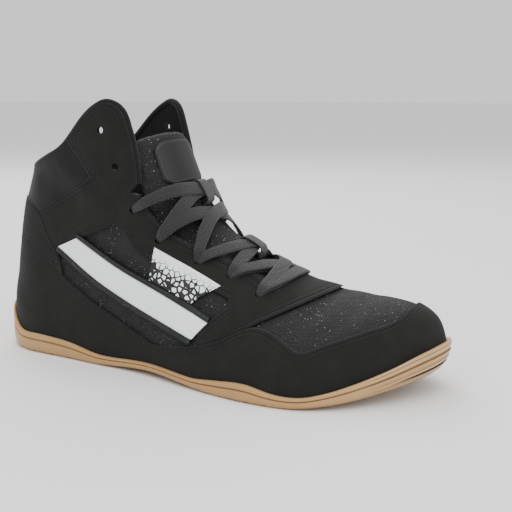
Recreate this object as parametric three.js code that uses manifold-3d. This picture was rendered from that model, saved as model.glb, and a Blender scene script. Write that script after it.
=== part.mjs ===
// Wrestling shoe for the right foot: a light high-top with ankle flaps on a thin gum cup sole.
// Millimetres. +X points from heel to toe, +Y to the inner (medial) side of the foot, +Z up.
import * as THREE from "three";
import { mergeVertices } from "three/addons/utils/BufferGeometryUtils.js";
import Module from "manifold-3d";

const wasm = await Module();
wasm.setup();

// Driving sizes of the shoe
const LENGTH = 288; // outsole, heel to toe
const BALL_WIDTH = 104; // outsole at the ball
const HEEL_WIDTH = 71; // outsole at the heel
const ANKLE_WIDTH = 75; // outside of the ankle flaps
const HEIGHT = 157; // floor to the top of the ankle flaps
const TOE_SPRING = 15; // rise of the sole's underside at the toe tip
const ARCH_LIFT = 3; // rise of the sole's underside at the waist

// Materials' thicknesses and the clearance between glued or stitched layers
const UPPER_WALL = 2;
const OVERLAY = 1.2;
const BAND_RISE = 2.2;
const TONGUE_WALL = 3;
const INSOLE = 3.5;
const GAP = 0.3;

// Sole
const SOLE_BED = 3.5; // rubber under the insole at the forefoot
const HEEL_WEDGE = 3; // extra rubber under the heel
const SOLE_LIP = 3.6; // how far the sole stands out from the upper
const HEEL_BEVEL = 2; // rise of the underside at the back edge
const GROOVE_WIDTH = 2.4;
const GROOVE_DEPTH = 1;

// Lacing
const EYELET_RADIUS = 2.1;
const LACE_WIDTH = 8;
const LACE_THICK = 1.8;
const KEEPER_WIDTH = 9;
const KEEPER_THICK = 1.2;

// Mesh fineness
const RINGS_PER_ROW = 2;
const RING_SIDE = 12;
const SOLE_SIDE = 28;
const BED_STEPS = 22;

const clamp01 = (t) => Math.min(1, Math.max(0, t));
const mix = (a, b, t) => a + (b - a) * t;
const ease = (t) => clamp01(t) ** 2 * (3 - 2 * clamp01(t));
const easeBetween = (x, from, to) => ease((x - from) / (to - from));

// Value of column `key` at place `at` along column `by`, on a smooth curve through the rows.
function smoothColumn(rows, key, at, by) {
  const last = rows.length - 1;
  let i = 0;
  while (i < last - 1 && at > rows[i + 1][by]) i += 1;
  const slope = (j) => {
    const before = rows[Math.max(j - 1, 0)];
    const after = rows[Math.min(j + 1, last)];
    return (after[key] - before[key]) / (after[by] - before[by]);
  };
  const span = rows[i + 1][by] - rows[i][by];
  const t = clamp01((at - rows[i][by]) / span);
  const rise = rows[i + 1][key] - rows[i][key];
  const startPull = slope(i) * span;
  const endPull = slope(i + 1) * span;
  return rows[i][key] + t * (startPull + t * (3 * rise - 2 * startPull - endPull + t * (startPull + endPull - 2 * rise)));
}

// Plan outline of the upper at the sole: half widths left and right of the line y = 0.
// x is a share of LENGTH, heel and ball are shares of HEEL_WIDTH and BALL_WIDTH that add up.
const OUTLINE = {
  lateral: [
    { x: 0, heel: 0.465, ball: 0 },
    { x: 0.14, heel: 0.465, ball: 0 },
    { x: 0.28, heel: 0.46, ball: 0.03 },
    { x: 0.42, heel: 0.3, ball: 0.18 },
    { x: 0.56, heel: 0.08, ball: 0.425 },
    { x: 0.68, heel: 0, ball: 0.535 },
    { x: 0.78, heel: 0, ball: 0.52 },
    { x: 0.88, heel: 0, ball: 0.445 },
    { x: 1, heel: 0, ball: 0.36 },
  ],
  medial: [
    { x: 0, heel: 0.46, ball: 0 },
    { x: 0.14, heel: 0.455, ball: 0 },
    { x: 0.28, heel: 0.4, ball: 0.015 },
    { x: 0.42, heel: 0.22, ball: 0.095 },
    { x: 0.56, heel: 0.06, ball: 0.24 },
    { x: 0.68, heel: 0, ball: 0.375 },
    { x: 0.78, heel: 0, ball: 0.425 },
    { x: 0.88, heel: 0, ball: 0.435 },
    { x: 1, heel: 0, ball: 0.415 },
  ],
};
const TOE_TIP_X = LENGTH - SOLE_LIP - 1.2;
const TOE_TIP_Y = 0.115 * BALL_WIDTH;
const TOE_ROUND = { lateral: 0.225 * LENGTH, medial: 0.19 * LENGTH };
const HEEL_ROUND = 0.135 * LENGTH;

// Back of the heel and collar, seen from the side. z is a share of HEIGHT, x of LENGTH.
const BACK = [
  { z: -0.1, x: 0.013 },
  { z: 0.06, x: 0.012 },
  { z: 0.19, x: 0.012 },
  { z: 0.32, x: 0.021 },
  { z: 0.46, x: 0.031 },
  { z: 0.56, x: 0.043 },
  { z: 0.62, x: 0.053 },
  { z: 0.67, x: 0.064 },
  { z: 0.72, x: 0.076 },
  { z: 0.8, x: 0.084 },
  { z: 1.2, x: 0.088 },
];
const backX = (z) => LENGTH * smoothColumn(BACK, "x", z / HEIGHT, "z");

// Narrowing of the shaft behind the ankle, as a share of its half width, by height as a share of HEIGHT.
const PINCH = [
  { z: 0, share: 0.08 },
  { z: 0.2, share: 0.1 },
  { z: 0.4, share: 0.19 },
  { z: 0.55, share: 0.16 },
  { z: 0.75, share: 0.06 },
  { z: 1.2, share: 0.02 },
];

const rounding = (t, power) => (1 - (1 - clamp01(t)) ** power) ** (1 / power);

// Half width of the upper at a point of its side view, before its top is rounded over.
function halfWidth(x, z, side) {
  const xs = x / LENGTH;
  const rows = OUTLINE[side];
  const sole = HEEL_WIDTH * smoothColumn(rows, "heel", xs, "x") + BALL_WIDTH * smoothColumn(rows, "ball", xs, "x");
  const behind = 1 - easeBetween(xs, 0.15, 0.42);
  const pinch = smoothColumn(PINCH, "share", z / HEIGHT, "z") * behind;
  const shaft = (ANKLE_WIDTH / 2 + 1) * (1 - pinch);
  const climb = easeBetween(z / HEIGHT, 0.06, 0.5) * (1 - easeBetween(xs, 0.4, 0.72));
  const heel = rounding((x - backX(z)) / HEEL_ROUND, 2.2);
  const toe = rounding((TOE_TIP_X - x) / TOE_ROUND[side], 2);
  const tipY = side === "lateral" ? -TOE_TIP_Y : TOE_TIP_Y;
  return mix(tipY, mix(sole, shaft, climb), toe) * heel;
}

// Sections of the last, from the toe tip to the top of the shaft. Each lies in a plane square to the side view,
// from a far point (under the sole, or at the back) to a near point (the ridge of the foot, or the shaft's front).
// nearX, farX and ridgeY are shares of LENGTH, LENGTH and BALL_WIDTH; nearZ and farZ are shares of HEIGHT.
// round is the share of the section that is rounded over at the near end, with its power; back is 1 where
// the far point lies on the back of the shoe.
const SECTIONS = [
  { at: 0, nearX: 0, nearZ: 0.16, farX: 0, farZ: 0.16, ridgeY: 0.115, round: 0.7, power: 2.2, back: 0 },
  { at: 1, nearX: 0.0052, nearZ: 0.212, farX: 0.004, farZ: -0.09, ridgeY: 0.12, round: 0.7, power: 2.2, back: 0 },
  { at: 2, nearX: 0.0226, nearZ: 0.264, farX: 0.019, farZ: -0.09, ridgeY: 0.125, round: 0.68, power: 2.2, back: 0 },
  { at: 3, nearX: 0.0625, nearZ: 0.301, farX: 0.055, farZ: -0.09, ridgeY: 0.125, round: 0.7, power: 2.2, back: 0 },
  { at: 4, nearX: 0.127, nearZ: 0.318, farX: 0.117, farZ: -0.09, ridgeY: 0.12, round: 0.75, power: 2.2, back: 0 },
  { at: 5, nearX: 0.205, nearZ: 0.334, farX: 0.19, farZ: -0.09, ridgeY: 0.09, round: 0.8, power: 2.1, back: 0 },
  { at: 6, nearX: 0.281, nearZ: 0.366, farX: 0.267, farZ: -0.09, ridgeY: 0.065, round: 0.82, power: 2, back: 0 },
  { at: 7, nearX: 0.35, nearZ: 0.418, farX: 0.345, farZ: -0.09, ridgeY: 0.045, round: 0.84, power: 2, back: 0 },
  { at: 8, nearX: 0.41, nearZ: 0.475, farX: 0.427, farZ: -0.09, ridgeY: 0.03, round: 0.8, power: 2.1, back: 0 },
  { at: 9, nearX: 0.457, nearZ: 0.535, farX: 0.52, farZ: -0.09, ridgeY: 0.02, round: 0.72, power: 2.3, back: 0 },
  { at: 10, nearX: 0.489, nearZ: 0.599, farX: 0.615, farZ: -0.09, ridgeY: 0.01, round: 0.6, power: 2.6, back: 0 },
  { at: 11, nearX: 0.513, nearZ: 0.669, farX: 0.719, farZ: -0.09, ridgeY: 0, round: 0.5, power: 2.9, back: 0.6 },
  { at: 12, nearX: 0.532, nearZ: 0.739, farX: 0.83, farZ: -0.09, ridgeY: 0, round: 0.44, power: 3.1, back: 0.95 },
  { at: 13, nearX: 0.549, nearZ: 0.809, farX: 0.97, farZ: -0.09, ridgeY: 0, round: 0.4, power: 3.2, back: 1 },
  { at: 14, nearX: 0.565, nearZ: 0.879, farX: 0.97, farZ: 0.14, ridgeY: 0, round: 0.4, power: 3.3, back: 1 },
  { at: 15, nearX: 0.58, nearZ: 0.949, farX: 0.96, farZ: 0.37, ridgeY: 0, round: 0.4, power: 3.4, back: 1 },
  { at: 16, nearX: 0.595, nearZ: 1.019, farX: 0.94, farZ: 0.59, ridgeY: 0, round: 0.4, power: 3.5, back: 1 },
  { at: 17, nearX: 0.61, nearZ: 1.089, farX: 0.93, farZ: 0.8, ridgeY: 0, round: 0.4, power: 3.5, back: 1 },
  { at: 18, nearX: 0.624, nearZ: 1.159, farX: 0.92, farZ: 1.02, ridgeY: 0, round: 0.4, power: 3.5, back: 1 },
];
const LAST_SECTION = SECTIONS.length - 1;
const FIRST_BACK_SECTION = SECTIONS.findIndex((row) => row.back === 1);

// Point of the last on section `at`, a share s of the way from the far point to the ridge.
function lastPoint(at, s, side) {
  const column = (key) => smoothColumn(SECTIONS, key, at, "at");
  const farZ = HEIGHT * column("farZ");
  const onBack = at >= FIRST_BACK_SECTION;
  const farX = onBack ? backX(farZ) : TOE_TIP_X - LENGTH * column("farX");
  const nearX = TOE_TIP_X - LENGTH * column("nearX");
  const nearZ = HEIGHT * column("nearZ");
  const even = Math.sin((Math.PI / 2) * s);
  const bunched = (1 - Math.cos(Math.PI * s)) / 2;
  const q = mix(even, bunched, clamp01(column("back")));
  const x = mix(farX, nearX, q);
  const z = mix(farZ, nearZ, q);
  const round = column("round");
  const over = clamp01((q - 1 + round) / round);
  const power = column("power");
  const fall = (1 - over ** power) ** (1 / power);
  const ridgeY = BALL_WIDTH * column("ridgeY");
  const width = halfWidth(x, z, side);
  const y = side === "lateral" ? mix(ridgeY, -width, fall) : mix(ridgeY, width, fall);
  return [x, y, z];
}

// Closed body of the last as merged vertices, triangles and vertex normals.
function lastBody() {
  const rings = [];
  const steps = LAST_SECTION * RINGS_PER_ROW;
  for (let i = 0; i <= steps; i += 1) {
    const at = i / RINGS_PER_ROW;
    const ring = [];
    for (let j = 0; j <= RING_SIDE; j += 1) ring.push(lastPoint(at, j / RING_SIDE, "lateral"));
    for (let j = RING_SIDE - 1; j >= 0; j -= 1) ring.push(lastPoint(at, j / RING_SIDE, "medial"));
    rings.push(ring);
  }
  return ringBody(rings);
}

// Closed body through rings with equal numbers of points, with a flat fan over the first and the last ring.
function ringBody(rings) {
  const count = rings[0].length;
  const positions = rings.flat(2);
  const index = [];
  for (let i = 0; i + 1 < rings.length; i += 1) {
    for (let j = 0; j < count; j += 1) {
      const a = i * count + j;
      const b = i * count + ((j + 1) % count);
      index.push(a, a + count, b, b, a + count, b + count);
    }
  }
  const cap = (start, flip) => {
    for (let j = 0; j < count / 2 - 1; j += 1) {
      const quad = [start + j, start + j + 1, start + count - 2 - j, start + count - 1 - j];
      const order = flip ? [0, 2, 1, 0, 3, 2] : [0, 1, 2, 0, 2, 3];
      order.forEach((k) => index.push(quad[k]));
    }
  };
  cap(0, false);
  cap((rings.length - 1) * count, true);
  const geometry = new THREE.BufferGeometry();
  geometry.setAttribute("position", new THREE.Float32BufferAttribute(positions, 3));
  geometry.setIndex(index);
  return geometry;
}

// Merged copy of a geometry without the triangles that have shrunk to a line.
function cleaned(geometry) {
  const bare = new THREE.BufferGeometry();
  bare.setAttribute("position", geometry.getAttribute("position"));
  if (geometry.index) bare.setIndex(geometry.index);
  const merged = mergeVertices(bare, 1e-3);
  const old = merged.index.array;
  const kept = [];
  for (let i = 0; i < old.length; i += 3) {
    const [a, b, c] = [old[i], old[i + 1], old[i + 2]];
    if (a !== b && b !== c && c !== a) kept.push(a, b, c);
  }
  merged.setIndex(kept);
  return merged;
}

function solid(geometry) {
  const merged = cleaned(geometry);
  const mesh = new wasm.Mesh({
    numProp: 3,
    vertProperties: merged.attributes.position.array,
    triVerts: new Uint32Array(merged.index.array),
  });
  const made = new wasm.Manifold(mesh);
  if (made.volume() > 0) return made;
  mesh.triVerts.reverse();
  return new wasm.Manifold(mesh);
}

function nodeGeometry(body) {
  const mesh = body.getMesh();
  const geometry = new THREE.BufferGeometry();
  geometry.setAttribute("position", new THREE.BufferAttribute(new Float32Array(mesh.vertProperties), 3));
  geometry.setIndex(Array.from(mesh.triVerts));
  return geometry;
}

const LAST = nodeGeometry(solid(lastBody()));
LAST.computeVertexNormals();

// The last grown by `offset` square to its surface.
function grownLast(offset) {
  const grown = LAST.clone();
  const place = grown.attributes.position;
  const normal = LAST.attributes.normal;
  for (let i = 0; i < place.count; i += 1) {
    place.setXYZ(
      i,
      place.getX(i) + offset * normal.getX(i),
      place.getY(i) + offset * normal.getY(i),
      place.getZ(i) + offset * normal.getZ(i),
    );
  }
  return solid(grown);
}

// Solid of one outline of the side view, pushed right through the shoe from side to side.
// points are [x, z] pairs in millimetres.
function sideCut(points, fromY = -BALL_WIDTH, toY = BALL_WIDTH) {
  const shape = new THREE.Shape(points.map(([x, z]) => new THREE.Vector2(x, z)));
  const geometry = new THREE.ExtrudeGeometry(shape, { depth: toY - fromY, bevelEnabled: false });
  geometry.rotateX(Math.PI / 2);
  geometry.translate(0, toY, 0);
  return solid(geometry);
}

// Side-view points from a table of shares of LENGTH and HEIGHT.
const inMillimetres = (rows) => rows.map(({ x, z }) => [x * LENGTH, z * HEIGHT]);

// Smooth run through points, with `steps` straight pieces between two points.
function smoothRun(points, steps = 2) {
  const curve = new THREE.SplineCurve(points.map(([x, z]) => new THREE.Vector2(x, z)));
  return curve.getPoints(steps * (points.length - 1)).map((p) => [p.x, p.y]);
}

// Run moved to its left-hand side, seen along its direction.
function offsetRun(points, distance, closed = false) {
  const last = points.length - 1;
  return points.map((point, i) => {
    const before = points[i > 0 ? i - 1 : closed ? last : 0];
    const after = points[i < last ? i + 1 : closed ? 0 : last];
    const [dx, dz] = [after[0] - before[0], after[1] - before[1]];
    const size = Math.hypot(dx, dz);
    return [point[0] - (dz / size) * distance, point[1] + (dx / size) * distance];
  });
}

// Run made longer at its start and end, along its own direction.
function longerRun(points, atStart, atEnd) {
  const reach = (from, through, distance) => {
    const size = Math.hypot(through[0] - from[0], through[1] - from[1]);
    return [through[0] + ((through[0] - from[0]) / size) * distance, through[1] + ((through[1] - from[1]) / size) * distance];
  };
  const last = points.length - 1;
  return [reach(points[1], points[0], atStart), ...points.slice(1, last), reach(points[last - 1], points[last], atEnd)];
}

// Side-view lines of the panels, as shares of LENGTH and HEIGHT.
const COLLAR_LINE = [
  { x: -0.07, z: 0.715 },
  { x: 0.06, z: 0.72 },
  { x: 0.109, z: 0.75 },
  { x: 0.171, z: 0.79 },
  { x: 0.22, z: 0.835 },
  { x: 0.275, z: 0.94 },
  { x: 0.31, z: 0.988 },
  { x: 0.335, z: 1 },
  { x: 0.36, z: 0.972 },
  { x: 0.376, z: 0.896 },
  { x: 0.386, z: 0.825 },
  { x: 0.393, z: 0.76 },
  { x: 0.397, z: 0.706 },
];
const NOTCH_LINE = [
  { x: 0.384, z: 0.672 },
  { x: 0.402, z: 0.664 },
];
// cross is how far the lace's crossing below a row (its bar at the last row) lies nearer the toe than halfway,
// in sections of the last.
const EYELETS = [
  { x: 0.319, z: 0.899, cross: 0 },
  { x: 0.351, z: 0.765, cross: 0 },
  { x: 0.392, z: 0.608, cross: 0.55 },
  { x: 0.447, z: 0.503, cross: 0.05 },
  { x: 0.525, z: 0.428, cross: 0.5 },
  { x: 0.593, z: 0.382, cross: 0.5 },
  { x: 0.66, z: 0.328, cross: 0.45 },
];
const FIRST_LACED_EYELET = 2;
const MUDGUARD_TOP = [
  { x: -0.06, z: 0.47 },
  { x: 0.03, z: 0.466 },
  { x: 0.075, z: 0.455 },
  { x: 0.116, z: 0.425 },
  { x: 0.16, z: 0.375 },
  { x: 0.204, z: 0.327 },
  { x: 0.279, z: 0.252 },
  { x: 0.351, z: 0.194 },
  { x: 0.42, z: 0.142 },
  { x: 0.46, z: 0.124 },
  { x: 0.538, z: 0.146 },
  { x: 0.604, z: 0.181 },
  { x: 0.655, z: 0.229 },
  { x: 0.695, z: 0.236 },
  { x: 0.738, z: 0.207 },
  { x: 0.776, z: 0.18 },
  { x: 0.81, z: 0.203 },
  { x: 0.872, z: 0.244 },
  { x: 0.915, z: 0.272 },
  { x: 0.929, z: 0.31 },
  { x: 0.931, z: 0.4 },
];
const COUNTER_FRONT = [
  { x: -0.06, z: 0.63 },
  { x: 0.045, z: 0.626 },
  { x: 0.105, z: 0.6 },
  { x: 0.142, z: 0.56 },
  { x: 0.155, z: 0.509 },
  { x: 0.171, z: 0.455 },
  { x: 0.188, z: 0.41 },
  { x: 0.204, z: 0.32 },
  { x: 0.21, z: 0.26 },
];
const COLLAR_PANEL_FOOT = [
  { x: 0.1, z: 0.53 },
  { x: 0.142, z: 0.567 },
  { x: 0.201, z: 0.62 },
  { x: 0.246, z: 0.662 },
  { x: 0.293, z: 0.701 },
];
const FLAP_SEAM = [
  { x: 0.295, z: 0.739 },
  { x: 0.283, z: 0.772 },
  { x: 0.263, z: 0.812 },
  { x: 0.244, z: 0.859 },
  { x: 0.243, z: 0.9 },
  { x: 0.243, z: 1 },
];
const EYESTAY_FRONT = [
  { x: 0.62, z: 0.19 },
  { x: 0.683, z: 0.255 },
  { x: 0.726, z: 0.295 },
  { x: 0.763, z: 0.328 },
  { x: 0.8, z: 0.36 },
];
const BAND_LOW = [
  { x: 0.191, z: 0.442 },
  { x: 0.265, z: 0.366 },
  { x: 0.33, z: 0.309 },
  { x: 0.43, z: 0.238 },
  { x: 0.55, z: 0.174 },
];
const BAND_HIGH = [
  { x: 0.246, z: 0.484 },
  { x: 0.345, z: 0.401 },
  { x: 0.439, z: 0.334 },
  { x: 0.515, z: 0.281 },
  { x: 0.581, z: 0.238 },
];
const WINDOW_TOP = [
  { x: 0.25, z: 0.478 },
  { x: 0.266, z: 0.494 },
  { x: 0.35, z: 0.553 },
  { x: 0.372, z: 0.528 },
  { x: 0.403, z: 0.47 },
  { x: 0.445, z: 0.432 },
  { x: 0.5, z: 0.395 },
  { x: 0.555, z: 0.352 },
  { x: 0.61, z: 0.318 },
  { x: 0.613, z: 0.29 },
  { x: 0.579, z: 0.238 },
];
const FLASH_OUTLINE = [
  { x: 0.443, z: 0.478 },
  { x: 0.486, z: 0.438 },
  { x: 0.527, z: 0.402 },
  { x: 0.585, z: 0.356 },
  { x: 0.545, z: 0.31 },
  { x: 0.51, z: 0.25 },
  { x: 0.43, z: 0.305 },
  { x: 0.436, z: 0.39 },
];
const TRIM_WIDTH = 2.6;
const THROAT_EDGE = 6.3; // eyestay beyond the eyelet line
const THROAT_END = 7; // throat beyond the last eyelet

// Underside of the sole and the bed inside it
const ARCH = { from: 0.27, to: 0.63 };
const SPRING_FROM = 0.74;
const BEVEL_TO = 0.06;
function undersideZ(x) {
  const xs = x / LENGTH;
  const arch = ARCH_LIFT * Math.sin(Math.PI * clamp01((xs - ARCH.from) / (ARCH.to - ARCH.from))) ** 2;
  const spring = TOE_SPRING * Math.max(0, (xs - SPRING_FROM) / (1 - SPRING_FROM)) ** 1.8;
  const bevel = HEEL_BEVEL * Math.max(0, 1 - xs / BEVEL_TO) ** 2;
  return arch + spring + bevel;
}
const bedZ = (x) => undersideZ(x) + SOLE_BED + HEEL_WEDGE * (1 - easeBetween(x / LENGTH, 0.2, 0.45));

// Everything above a line that follows the bed at height `lift`.
function aboveBed(lift) {
  const line = Array.from({ length: BED_STEPS + 1 }, (_, i) => {
    const x = mix(-0.05, 1.05, i / BED_STEPS) * LENGTH;
    return [x, bedZ(x) + lift];
  });
  return sideCut([...line, [line[BED_STEPS][0], 1.6 * HEIGHT], [line[0][0], 1.6 * HEIGHT]]);
}

// Height of the sole's lip above its underside, as a share of LIP_HEIGHT.
const LIP_HEIGHT = 12;
const LIP = [
  { x: 0, share: 2.25 },
  { x: 0.02, share: 2.1 },
  { x: 0.045, share: 1.6 },
  { x: 0.077, share: 1.1 },
  { x: 0.137, share: 1.04 },
  { x: 0.22, share: 0.9 },
  { x: 0.31, share: 0.52 },
  { x: 0.414, share: 0.42 },
  { x: 0.553, share: 0.46 },
  { x: 0.615, share: 0.7 },
  { x: 0.68, share: 0.82 },
  { x: 0.736, share: 0.6 },
  { x: 0.79, share: 0.5 },
  { x: 0.828, share: 0.58 },
  { x: 0.865, share: 0.72 },
  { x: 0.924, share: 1 },
  { x: 0.964, share: 1.22 },
  { x: 1, share: 1.3 },
];
const lipHeight = (x) => LIP_HEIGHT * smoothColumn(LIP, "share", clamp01(x / LENGTH), "x");

// Side of the sole from the underside to the lip: rise as a share of the lip, how far it stands out in
// millimetres, and what the toe adds to that, where it is tucked under and has two grooves more.
const SOLE_SIDE_PROFILE = [
  { rise: 0, out: -2.6, toe: -4 },
  { rise: 0.12, out: -0.8, toe: -3.2 },
  { rise: 0.22, out: -0.3, toe: -2.4 },
  { rise: 0.28, out: -0.2, toe: -2.8 },
  { rise: 0.34, out: 0, toe: -1.6 },
  { rise: 0.44, out: 0, toe: -0.9 },
  { rise: 0.5, out: 0, toe: -1.4 },
  { rise: 0.56, out: 0, toe: -0.4 },
  { rise: 0.66, out: -0.9, toe: 0 },
  { rise: 0.72, out: 0.1, toe: 0 },
  { rise: 1, out: -0.7, toe: 0 },
];
const TOE_FROM = 0.84;

// Closed outline of the sole in plan, grown by `out` (with `toe` more at the toe), as [x, y] pairs.
function soleOutline(out, toe) {
  const ring = [];
  const level = 0.06 * HEIGHT;
  const heelX = backX(level);
  const station = (j, side) => {
    const x = mix(heelX, TOE_TIP_X, (1 - Math.cos((Math.PI * j) / SOLE_SIDE)) / 2);
    return [x, (side === "lateral" ? -1 : 1) * halfWidth(x, level, side)];
  };
  for (let j = 0; j <= SOLE_SIDE; j += 1) ring.push(station(j, "lateral"));
  for (let j = SOLE_SIDE - 1; j > 0; j -= 1) ring.push(station(j, "medial"));
  const count = ring.length;
  const grown = ring.map((point, i) => {
    const before = ring[(i + count - 1) % count];
    const after = ring[(i + 1) % count];
    const [dx, dy] = [after[0] - before[0], after[1] - before[1]];
    const size = Math.hypot(dx, dy);
    const by = SOLE_LIP + out + toe * easeBetween(point[0] / LENGTH, TOE_FROM, 0.96);
    return [point[0] + (dy / size) * by, point[1] - (dx / size) * by];
  });
  return [...grown, grown[0]];
}

function outsole() {
  const rings = SOLE_SIDE_PROFILE.map(({ rise, out, toe }) =>
    soleOutline(out, toe).map(([x, y]) => [x, y, undersideZ(x) + rise * lipHeight(x)]),
  );
  const block = solid(ringBody(rings));
  const cavity = grownLast(OVERLAY + 2 * GAP).intersect(aboveBed(0));
  return FLEX_GROOVES.reduce((body, xs) => body.subtract(flexGroove(xs * LENGTH)), block.subtract(cavity));
}

// Shallow grooves right across the underside, where the sole bends and under the heel
const FLEX_GROOVES = [0.12, 0.17, 0.22, 0.655, 0.69, 0.725];
function flexGroove(x) {
  const groove = new THREE.BoxGeometry(GROOVE_WIDTH, 2 * BALL_WIDTH, 2 * GROOVE_DEPTH);
  groove.translate(x, 0, 0);
  return solid(groove);
}

// Layers of the upper
const collarRun = smoothRun(inMillimetres(COLLAR_LINE));
const eyeletPoints = inMillimetres(EYELETS);
const throatRun = offsetRun(longerRun(smoothRun(eyeletPoints.slice(FIRST_LACED_EYELET)), 0, THROAT_END), THROAT_EDGE);
const throatEnd = throatRun[throatRun.length - 1];
const openingLine = [
  ...collarRun,
  ...inMillimetres(NOTCH_LINE),
  ...throatRun,
  [throatEnd[0] + 3, throatEnd[1] + 5],
  [throatEnd[0] + 6, throatEnd[1] + 0.3 * HEIGHT],
  [0.8 * LENGTH, 1.7 * HEIGHT],
  [-0.1 * LENGTH, 1.7 * HEIGHT],
];
const openingCut = sideCut(openingLine);

const wallOuter = grownLast(0);
const upperShell = wallOuter.subtract(grownLast(-UPPER_WALL)).intersect(aboveBed(GAP));
const overlayShell = grownLast(GAP + OVERLAY).subtract(grownLast(GAP)).intersect(aboveBed(GAP));
const bandShell = grownLast(BAND_RISE).subtract(grownLast(GAP)).intersect(aboveBed(GAP));

// Point on the last straight in from one side, with the direction square to the surface there.
const probe = new THREE.Mesh(LAST, new THREE.MeshBasicMaterial({ side: THREE.DoubleSide }));
function surfacePoint([x, z], side) {
  const way = side === "lateral" ? 1 : -1;
  const ray = new THREE.Raycaster(new THREE.Vector3(x, -way * 2 * BALL_WIDTH, z), new THREE.Vector3(0, way, 0));
  const found = ray.intersectObject(probe)[0];
  const normal = found.face.normal.clone();
  if (normal.y * way > 0) normal.negate();
  return { point: found.point, normal };
}

function eyeletDrill(place, side) {
  const { point, normal } = surfacePoint(place, side);
  const drill = new THREE.CylinderGeometry(EYELET_RADIUS, EYELET_RADIUS, 6 * OVERLAY + 2 * UPPER_WALL, 10);
  drill.applyQuaternion(new THREE.Quaternion().setFromUnitVectors(new THREE.Vector3(0, 1, 0), normal));
  drill.translate(point.x, point.y, point.z);
  return solid(drill);
}
const SIDES = ["lateral", "medial"];
const eyeletDrills = SIDES.flatMap((side) => eyeletPoints.map((place) => eyeletDrill(place, side)));
const drillAll = (body) => eyeletDrills.reduce((left, drill) => left.subtract(drill), body);

const upperBody = drillAll(upperShell.subtract(openingCut));

const mudguardTop = smoothRun(inMillimetres(MUDGUARD_TOP));
const belowRun = (run) => sideCut([...run, [1.1 * LENGTH, run[run.length - 1][1]], [1.1 * LENGTH, -0.1 * HEIGHT], [-0.1 * LENGTH, -0.1 * HEIGHT]]);
const mudguardBody = overlayShell.intersect(belowRun(mudguardTop));
const mudguardClear = belowRun(offsetRun(mudguardTop, GAP));

const counterFront = smoothRun(inMillimetres(COUNTER_FRONT));
const behindRun = (run) => sideCut([...run, [run[run.length - 1][0], -0.1 * HEIGHT], [-0.1 * LENGTH, -0.1 * HEIGHT], [-0.1 * LENGTH, run[0][1]]]);
const counterBody = overlayShell.intersect(behindRun(counterFront)).subtract(mudguardClear);
const counterClear = behindRun(offsetRun(counterFront, GAP));

const bandLow = smoothRun(inMillimetres(BAND_LOW));
const bandHigh = smoothRun(inMillimetres(BAND_HIGH));
const stripCut = ([low, high], grow) => {
  const lowEdge = longerRun(offsetRun(low, -grow), grow, grow);
  const highEdge = longerRun(offsetRun(high, grow), grow, grow);
  return sideCut([...lowEdge, ...highEdge.reverse()]);
};
const bandStrip = [bandLow, bandHigh];
const lowTrimStrip = [offsetRun(bandLow, -GAP - TRIM_WIDTH), offsetRun(bandLow, -GAP)];
const highTrimStrip = [offsetRun(bandHigh, GAP), offsetRun(bandHigh, GAP + TRIM_WIDTH)];
const bandClear = [bandStrip, lowTrimStrip, highTrimStrip].map((strip) => stripCut(strip, GAP));
const clearOfBand = (body) => bandClear.reduce((left, cutter) => left.subtract(cutter), body);

// Windows above and below the band, where the knitted wall shows
const bandMiddle = bandLow.map(([x, z], i) => [mix(x, bandHigh[i][0], 0.5), mix(z, bandHigh[i][1], 0.5)]);
const windowCut = sideCut([...inMillimetres(WINDOW_TOP), ...[...bandMiddle].reverse()]);
const lowWindowCut = sideCut([bandLow[0], ...bandMiddle, [bandLow[bandLow.length - 1][0], 0], [bandLow[0][0], 0]]);
const flashPoints = inMillimetres(FLASH_OUTLINE);
const flashCut = sideCut(flashPoints);
const flashClear = sideCut(offsetRun(flashPoints, GAP, true));

const collarPanelFoot = smoothRun(inMillimetres(COLLAR_PANEL_FOOT));
const flapSeam = smoothRun(inMillimetres(FLAP_SEAM));
const eyestayFront = inMillimetres(EYESTAY_FRONT);
const eyestayCut = sideCut([
  ...collarPanelFoot,
  ...flapSeam,
  [0.8 * LENGTH, HEIGHT],
  ...[...eyestayFront].reverse(),
  [0.5 * LENGTH, 0],
  [0.1 * LENGTH, 0],
]);
const eyestayBody = drillAll(
  clearOfBand(
    overlayShell
      .intersect(eyestayCut)
      .subtract(openingCut)
      .subtract(mudguardClear)
      .subtract(counterClear)
      .subtract(windowCut)
      .subtract(lowWindowCut)
      .subtract(flashClear),
  ),
);

const halfSpace = (side) => {
  const box = new THREE.BoxGeometry(2 * LENGTH, BALL_WIDTH, 4 * HEIGHT);
  box.translate(0, ((side === "lateral" ? -1 : 1) * BALL_WIDTH) / 2, 0);
  return solid(box);
};

// Tongue: a curved pad along the front line of the last.
// crown is how far its edges lie behind its middle, half its half width and drop the depth of its middle under
// the front line; crown and half are shares of ANKLE_WIDTH.
const TONGUE = [
  { at: 5.9, half: 0.25, crown: 0.13, drop: 3.4 },
  { at: 6.6, half: 0.33, crown: 0.18, drop: 2.6 },
  { at: 7.5, half: 0.375, crown: 0.22, drop: 1.8 },
  { at: 8.5, half: 0.39, crown: 0.25, drop: 0.9 },
  { at: 10, half: 0.39, crown: 0.25, drop: 0.3 },
  { at: 12, half: 0.39, crown: 0.23, drop: 0.3 },
  { at: 13.6, half: 0.385, crown: 0.21, drop: 0.3 },
  { at: 14.05, half: 0.35, crown: 0.18, drop: 0.6 },
  { at: 14.2, half: 0.3, crown: 0.14, drop: 1 },
];
const CROWN_POWER = 2.5;
const TONGUE_FIRST = TONGUE[0].at;
const TONGUE_LAST = TONGUE[TONGUE.length - 1].at;
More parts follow.
